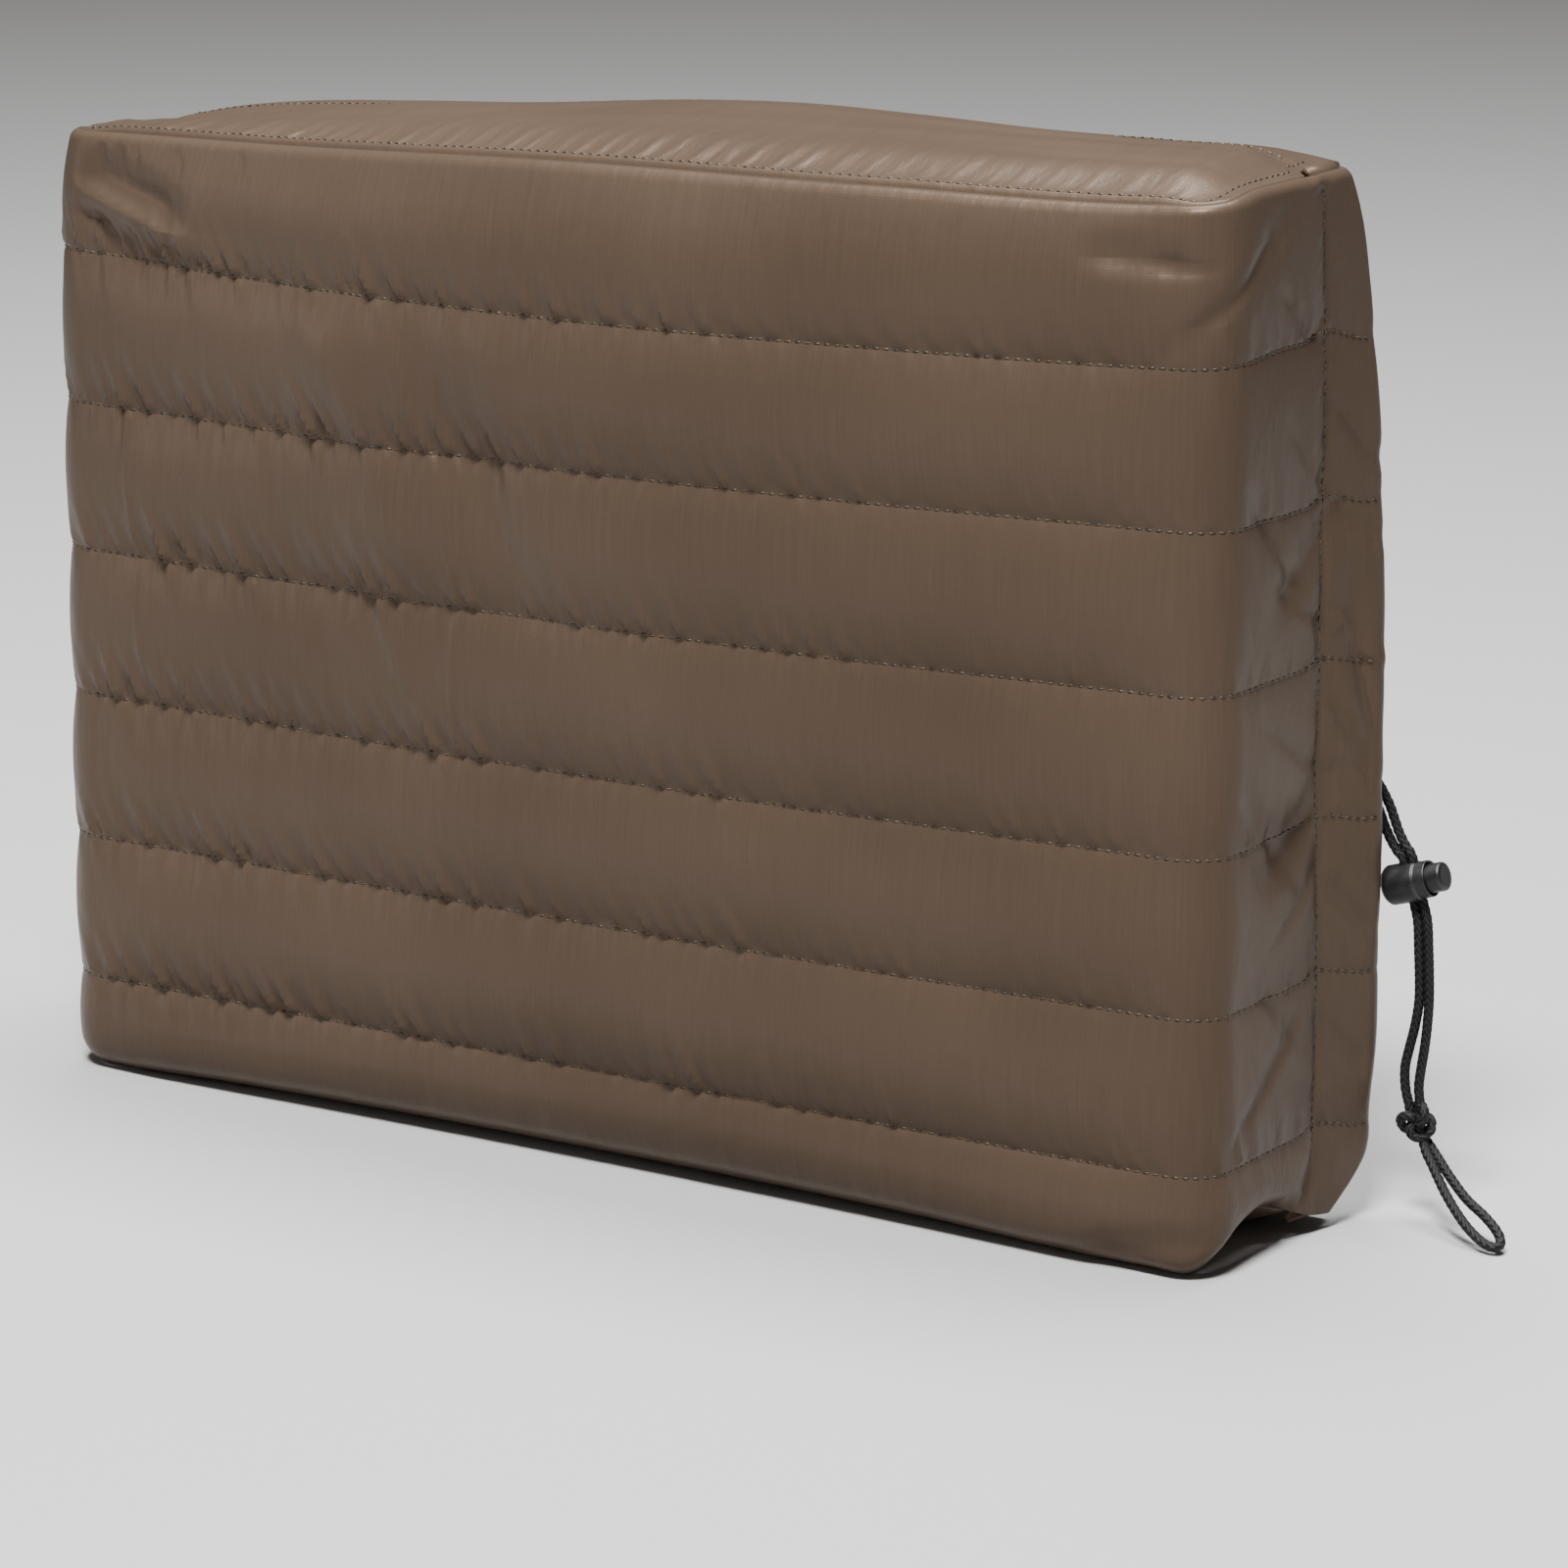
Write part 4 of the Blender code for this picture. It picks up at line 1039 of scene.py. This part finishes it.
def braided_tube(shape, points, radius):
    """A closed braided tube along evenly spaced points, added to a bmesh that may hold others."""
    tangents = np.gradient(points, axis=0)
    tangents /= np.linalg.norm(tangents, axis=1, keepdims=True)
    side = np.cross(tangents[0], (0.0, 1.0, 0.0))
    side /= np.linalg.norm(side)
    sides = [side]
    for tangent in tangents[1:]:
        side = side - tangent * side.dot(tangent)
        side = side / np.linalg.norm(side)
        sides.append(side)
    sides = np.array(sides)
    others = np.cross(tangents, sides)
    around = np.linspace(0.0, 2 * math.pi, BRAID_SIDES + 1)
    relief = braid_relief(around[None, :], steps_along(points)[:, None])
    # The relief is also kept per vertex for the braid's colour, as painted shade between the yarns and
    # painted highlight on their tops.
    shade = shape.verts.layers.float.get("braid") or shape.verts.layers.float.new("braid")
    reach = radius * (BRAID_CORE + BRAID_DEPTH * relief)
    grid = (
        points[:, None, :]
        + sides[:, None, :] * (np.cos(around)[None, :] * reach)[:, :, None]
        + others[:, None, :] * (np.sin(around)[None, :] * reach)[:, :, None]
    )
    made = bmesh.ops.create_grid(shape, x_segments=BRAID_SIDES, y_segments=len(points) - 1, size=1.0)
    order = set_grid(shape, made, grid - ORIGIN)
    for j in range(len(points)):
        for i in range(BRAID_SIDES + 1):
            order[j, i][shade] = relief[j, i]
    bmesh.ops.remove_doubles(shape, verts=made["verts"], dist=1e-6)
    ends = [edge for edge in shape.edges if edge.is_boundary]
    bmesh.ops.holes_fill(shape, edges=ends, sides=0)


def braided_cord(name, route, finish):
    points, length = smooth_route(route, BRAID_STEP)
    shape = bmesh.new()
    braided_tube(shape, points, CORD / 2)
    bmesh.ops.recalc_face_normals(shape, faces=shape.faces)
    return shape_to_piece(name, shape, finish), points - ORIGIN, length


KNOT_RING = 0.0029
KNOT_SWING = 0.0021
KNOT_PHASE = 0.4
KNOT_LEAN = math.radians(-28)
KNOT_CORE = (0.0030, 0.0020, 0.0031)
KNOT_STEP = BRAID_STEP * 1.1
# Short lengths of cord inside the knot: from the two strands, and to the two ends of the loop
KNOT_JOINS = (
    ((0.2437, 0.0948, 0.0378), (0.2440, 0.0950, 0.0290)),
    ((0.2396, 0.0948, 0.0374), (0.2420, 0.0944, 0.0285)),
    ((0.2430, 0.0940, 0.0330), (0.2460, 0.0938, 0.0240)),
    ((0.2425, 0.0955, 0.0320), (0.2456, 0.0968, 0.0242)),
)


def build_knot(finish):
    """The knot: the cord passed round and through itself and pulled tight."""
    t = np.linspace(0.0, 2 * math.pi, 25)[:-1]
    swing = 3 * t + KNOT_PHASE
    out = KNOT_RING + KNOT_SWING * np.cos(swing)
    x = 1.04 * out * np.cos(2 * t)
    y = 1.15 * KNOT_SWING * np.sin(swing)
    z = 1.16 * out * np.sin(2 * t)
    lean = np.array(
        (
            (math.cos(KNOT_LEAN), 0.0, -math.sin(KNOT_LEAN)),
            (0.0, 1.0, 0.0),
            (math.sin(KNOT_LEAN), 0.0, math.cos(KNOT_LEAN)),
        )
    )
    points = np.stack([x, y, z], axis=-1) @ lean.T + KNOT_CENTRE
    shape = bmesh.new()
    route, _ = smooth_route([*points, points[0], (points[0] + points[1]) / 2], KNOT_STEP)
    braided_tube(shape, route, CORD / 2 * 1.02)
    for start, end in KNOT_JOINS:
        join, _ = smooth_route([start, (np.array(start) + np.array(end)) / 2, end], KNOT_STEP)
        braided_tube(shape, join, CORD / 2)
    # A core fills the knot's inside. It has no braid relief of its own, so it takes the braid's darkest
    # colour: painted shade in the gaps between the cord's passes.
    core = Matrix.Translation(Vector(KNOT_CENTRE - ORIGIN)) @ Matrix.Diagonal((*KNOT_CORE, 1.0))
    bmesh.ops.create_uvsphere(shape, u_segments=16, v_segments=10, radius=1.0, matrix=core)
    bmesh.ops.recalc_face_normals(shape, faces=shape.faces)
    return shape_to_piece("drawstring_knot_braid", shape, finish)


# ---- cord lock


def turned(profile):
    """A round piece spun about the lock's axis from (forward, radius) points."""
    shape = bmesh.new()
    vertices = [shape.verts.new((forward, 0.0, radius)) for forward, radius in profile]
    edges = [shape.edges.new(pair) for pair in zip(vertices, vertices[1:])]
    bmesh.ops.spin(
        shape,
        geom=vertices + edges,
        cent=(0.0, 0.0, 0.0),
        axis=(1.0, 0.0, 0.0),
        angle=2 * math.pi,
        steps=LATHE_STEPS,
        use_merge=True,
    )
    bmesh.ops.remove_doubles(shape, verts=shape.verts, dist=1e-6)
    bmesh.ops.recalc_face_normals(shape, faces=shape.faces)
    return shape


def rounded(points, radius, steps=4):
    """A profile whose corners, apart from its ends, are rounded."""
    made = [np.array(points[0])]
    for before, corner, after in zip(points, points[1:], points[2:]):
        before, corner, after = (np.array(p) for p in (before, corner, after))
        reach_in = min(radius, np.linalg.norm(corner - before) * 0.45)
        reach_out = min(radius, np.linalg.norm(after - corner) * 0.45)
        start = corner + (before - corner) / np.linalg.norm(before - corner) * reach_in
        end = corner + (after - corner) / np.linalg.norm(after - corner) * reach_out
        for k in range(steps + 1):
            t = k / steps
            made.append(start * (1 - t) ** 2 + corner * 2 * t * (1 - t) + end * t * t)
    made.append(np.array(points[-1]))
    return [tuple(p) for p in made]


def cut_slot(shape, name, start, end, width, reach, finish):
    """Cuts the cross slot into a round piece, by a Boolean with a box, and applies it."""
    piece = shape_to_piece(name, shape, finish)
    box = bmesh.new()
    size = Matrix.Diagonal((end - start, width, 2 * reach, 1.0))
    bmesh.ops.create_cube(box, size=1.0, matrix=Matrix.Translation(((start + end) / 2, 0.0, 0.0)) @ size)
    bmesh.ops.bevel(
        box,
        geom=[edge for edge in box.edges if abs((edge.verts[0].co - edge.verts[1].co).z) > reach],
        offset=width * 0.35,
        segments=4,
        profile=0.5,
        affect="EDGES",
        material=-1,
    )
    cutter = shape_to_piece(name + "_cutter", box, finish)
    cut = piece.modifiers.new("cross slot", "BOOLEAN")
    cut.object = cutter
    cut.operation = "DIFFERENCE"
    cut.solver = "EXACT"
    bpy.context.view_layer.update()
    whole = bpy.data.meshes.new_from_object(piece.evaluated_get(bpy.context.evaluated_depsgraph_get()))
    piece.modifiers.clear()
    piece.data = whole
    bpy.data.objects.remove(cutter)
    return piece


def place_on_axis(piece, place):
    turn = Matrix.Rotation(-LOCK_TILT, 4, "Y")
    piece.data.transform(Matrix.Translation(Vector(place - ORIGIN)) @ turn)


def build_lock(finish):
    slot_half = STRAND_SPACING / 2 + CORD / 2 + RUNNING_GAP
    slot_start = STRAND_PLACE - slot_half
    slot_end = STRAND_PLACE + slot_half
    slot_width = CORD + 2 * RUNNING_GAP
    rim = BARREL_LENGTH
    barrel_profile = rounded(
        [
            (0.0, 0.0),
            (0.0, BARREL_RADIUS - BARREL_EDGE),
            (0.0013, BARREL_RADIUS),
            (rim - BARREL_NECK, BARREL_RADIUS),
            (rim - BARREL_NECK + SMALL_EDGE, BARREL_RADIUS - BARREL_NECK_STEP),
            (rim, BARREL_RADIUS - 0.00055),
            (rim, BORE_RADIUS + SMALL_EDGE),
            (rim - 0.0006, BORE_RADIUS),
            (BARREL_FLOOR, BORE_RADIUS),
            (BARREL_FLOOR, 0.0),
        ],
        BARREL_NECK_STEP,
    )
    shape = turned(barrel_profile)
    reach = BARREL_RADIUS + 0.001
    barrel = cut_slot(shape, "cord_lock_body", slot_start, slot_end, slot_width, reach, finish)
    place_on_axis(barrel, lock_point(0.0))
    inner = BARREL_FLOOR + RUNNING_GAP + BUTTON_TRAVEL
    length = BARREL_LENGTH + BUTTON_OUT - inner
    button_profile = rounded(
        [
            (0.0, 0.0),
            (0.0, BUTTON_RADIUS),
            (length - SMALL_EDGE, BUTTON_RADIUS),
            (length, BUTTON_RADIUS - BUTTON_EDGE),
            (length - 0.00012, 0.0),
        ],
        0.0008,
    )
    shape = turned(button_profile)
    start = slot_start - inner
    end = slot_end + BUTTON_TRAVEL - inner
    button = cut_slot(shape, "cord_lock_plunger", start, end, slot_width, BARREL_RADIUS, finish)
    place_on_axis(button, lock_point(inner))
    return barrel, button


# ---- materials


def fill(tree, node, inputs):
    """Sets each named input of a node to a value, or links it to an output."""
    for name, value in inputs.items():
        if isinstance(value, bpy.types.NodeSocket):
            tree.links.new(value, node.inputs[name])
        else:
            node.inputs[name].default_value = value


def add_node(tree, kind, inputs, **settings):
    made = tree.nodes.new(kind)
    for setting, value in settings.items():
        setattr(made, setting, value)
    fill(tree, made, inputs)
    return made


def add_noise(tree, place, scale, detail=2.0, distortion=0.0):
    inputs = {"Vector": place, "Scale": scale, "Detail": detail, "Distortion": distortion}
    return add_node(tree, "ShaderNodeTexNoise", inputs).outputs["Fac"]


def add_math(tree, operation, *values):
    return add_node(tree, "ShaderNodeMath", dict(enumerate(values)), operation=operation).outputs[0]


def add_ramp(tree, mask, *stops):
    """Colours from one stop to the next, each a position and a colour."""
    ramp = add_node(tree, "ShaderNodeValToRGB", {"Fac": mask})
    for element, (position, colour) in zip(ramp.color_ramp.elements, stops):
        element.position = position
        element.color = (*colour, 1.0)
    return ramp.outputs["Color"]


def add_bump(tree, height, strength, distance, under=None):
    inputs = {"Height": height, "Strength": strength, "Distance": distance}
    if under is not None:
        inputs["Normal"] = under
    return add_node(tree, "ShaderNodeBump", inputs).outputs["Normal"]


def object_place(tree):
    return add_node(tree, "ShaderNodeTexCoord", {}).outputs["Object"]


def new_material(name):
    made = bpy.data.materials.new(name)
    made.use_nodes = True
    return made, made.node_tree, made.node_tree.nodes["Principled BSDF"]


def weave_group():
    """A fine plain weave: streaks along the warp, a shade that varies, and a height for the bump."""
    group = bpy.data.node_groups.new("fine_weave", "ShaderNodeTree")
    group.interface.new_socket("Place", in_out="INPUT", socket_type="NodeSocketVector")
    group.interface.new_socket("Streaks", in_out="INPUT", socket_type="NodeSocketFloat")
    group.interface.new_socket("Shade", in_out="OUTPUT", socket_type="NodeSocketFloat")
    group.interface.new_socket("Height", in_out="OUTPUT", socket_type="NodeSocketFloat")
    given = add_node(group, "NodeGroupInput", {})
    place = given.outputs["Place"]
    stretched = add_node(group, "ShaderNodeMapping", {"Vector": place, "Scale": (1300.0, 30.0, 1.0)})
    streaks = add_noise(group, stretched.outputs["Vector"], 1.0, 3.0)
    thread = {"Vector": place, "Scale": 420.0, "Distortion": 0.6}
    warp = add_node(group, "ShaderNodeTexWave", thread, bands_direction="X")
    weft = add_node(group, "ShaderNodeTexWave", thread, bands_direction="Y")
    strong = add_math(group, "MULTIPLY", streaks, given.outputs["Streaks"])
    shade = add_math(group, "ADD", strong, add_noise(group, place, 9.0))
    threads = add_math(group, "ADD", warp.outputs["Fac"], weft.outputs["Fac"])
    height = add_math(group, "MULTIPLY_ADD", threads, 0.25, strong)
    add_node(group, "NodeGroupOutput", {"Shade": shade, "Height": height})
    return group


def cloth_finish(weave):
    made, tree, shader = new_material("quilted_satin_cloth")
    place = add_node(tree, "ShaderNodeUVMap", {}, uv_map="cloth").outputs["UV"]
    threads = add_node(tree, "ShaderNodeGroup", {"Place": place, "Streaks": 0.5}, node_tree=weave)
    dark, light = (0.042, 0.0284, 0.0196), (0.063, 0.0436, 0.0308)
    colour = add_ramp(tree, threads.outputs["Shade"], (0.30, dark), (1.0, light))
    leaning = {"Vector": place, "Scale": (95.0, 40.0, 1.0), "Rotation": (0.0, 0.0, math.radians(-14.0))}
    upright = add_node(tree, "ShaderNodeMapping", leaning)
    crinkle = add_noise(tree, upright.outputs["Vector"], 1.0, 4.0, 0.4)
    crumple = add_bump(tree, crinkle, 0.40, 0.0016)
    fill(
        tree,
        shader,
        {
            "Base Color": colour,
            "Roughness": 0.38,
            "Normal": add_bump(tree, threads.outputs["Height"], 0.30, 0.00012, crumple),
            "IOR": 1.38,
            "Specular IOR Level": 0.36,
            "Specular Tint": (1.0, 0.74, 0.56, 1.0),
        },
    )
    return made


def thread_finish():
    made, tree, shader = new_material("olive_thread")
    # One noise gives the thread's twist relief and its colour: patches from near black to olive gold, which
    # are painted shade and painted glints on the thread.
    twist_shade_and_glints = add_noise(tree, object_place(tree), 900.0)
    colour = add_ramp(tree, twist_shade_and_glints, (0.40, (0.006, 0.0045, 0.0025)), (0.66, (0.060, 0.043, 0.018)))
    relief = add_bump(tree, twist_shade_and_glints, 0.3, 0.0001)
    fill(tree, shader, {"Base Color": colour, "Roughness": 0.42, "Normal": relief})
    return made


def braid_finish():
    made, tree, shader = new_material("black_braid")
    fibres = add_noise(tree, object_place(tree), 3200.0)
    # Painted shade and painted highlight: the braid relief kept per vertex darkens the colour between the
    # yarns and lightens it on their tops, times a random fibre tone.
    yarns = add_node(tree, "ShaderNodeAttribute", {}, attribute_name="braid")
    lit = add_math(tree, "MULTIPLY", fibres, yarns.outputs["Fac"])
    colour = add_ramp(tree, lit, (0.08, (0.0003, 0.0003, 0.0004)), (0.60, (0.020, 0.020, 0.0205)))
    relief = add_bump(tree, fibres, 0.4, 0.00008)
    fill(tree, shader, {"Base Color": colour, "Roughness": 0.62, "Normal": relief})
    fill(tree, shader, {"Specular IOR Level": 0.22})
    return made


def plastic_finish():
    made, tree, shader = new_material("black_moulded_plastic")
    place = object_place(tree)
    grain = add_noise(tree, place, 1800.0, 3.0)
    scuffs = add_noise(tree, place, 260.0, 5.0)
    limits = {"Value": scuffs, "From Min": 0.35, "From Max": 0.70, "To Min": 0.36, "To Max": 0.56}
    dull = add_node(tree, "ShaderNodeMapRange", limits).outputs["Result"]
    colour = add_ramp(tree, scuffs, (0.0, (0.0035, 0.0035, 0.0038)), (1.0, (0.009, 0.009, 0.0095)))
    relief = add_bump(tree, grain, 0.25, 0.00006)
    fill(tree, shader, {"Base Color": colour, "Roughness": dull, "Normal": relief})
    return made


def on_body(piece, body, slot, *nodes):
    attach(piece, body)
    if nodes:
        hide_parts(*nodes)
    return piece


def main():
    studio()
    braid = braid_finish()
    plastic = plastic_finish()
    cloth = cloth_finish(weave_group())
    thread = thread_finish()

    strand_1, path_1, length_1 = braided_cord("drawstring_strand_1_braid", STRAND_1, braid)
    strand_2, path_2, length_2 = braided_cord("drawstring_strand_2_braid", STRAND_2, braid)
    loop, loop_path, loop_length = braided_cord("drawstring_loop_braid", LOOP, braid)
    knot = build_knot(braid)
    barrel, button = build_lock(plastic)
    on_body(strand_1, "cover", "black_braid", "drawstring_strand_1")
    on_body(strand_2, "cover", "black_braid", "drawstring_strand_2")
    on_body(loop, "cover", "black_braid", "drawstring_loop")
    on_body(knot, "cover", "black_braid", "drawstring_knot")
    on_body(barrel, "cover", "black_plastic", "cord_lock_barrel")
    on_body(button, "lock_button", "black_plastic", "cord_lock_button")

    wall, wall_points = build_wall(cloth)
    top, top_points = build_top(cloth)
    bottom, _ = build_bottom(cloth)
    on_body(wall, "cover", "quilted_cloth", "front_and_side_panel")
    on_body(top, "cover", "quilted_cloth", "top_panel")
    on_body(bottom, "cover", "quilted_cloth", "bottom_panel")
    stitches = build_stitches(wall_points, top_points, thread)
    for piece in stitches:
        on_body(piece, "cover", "quilted_cloth")


main()
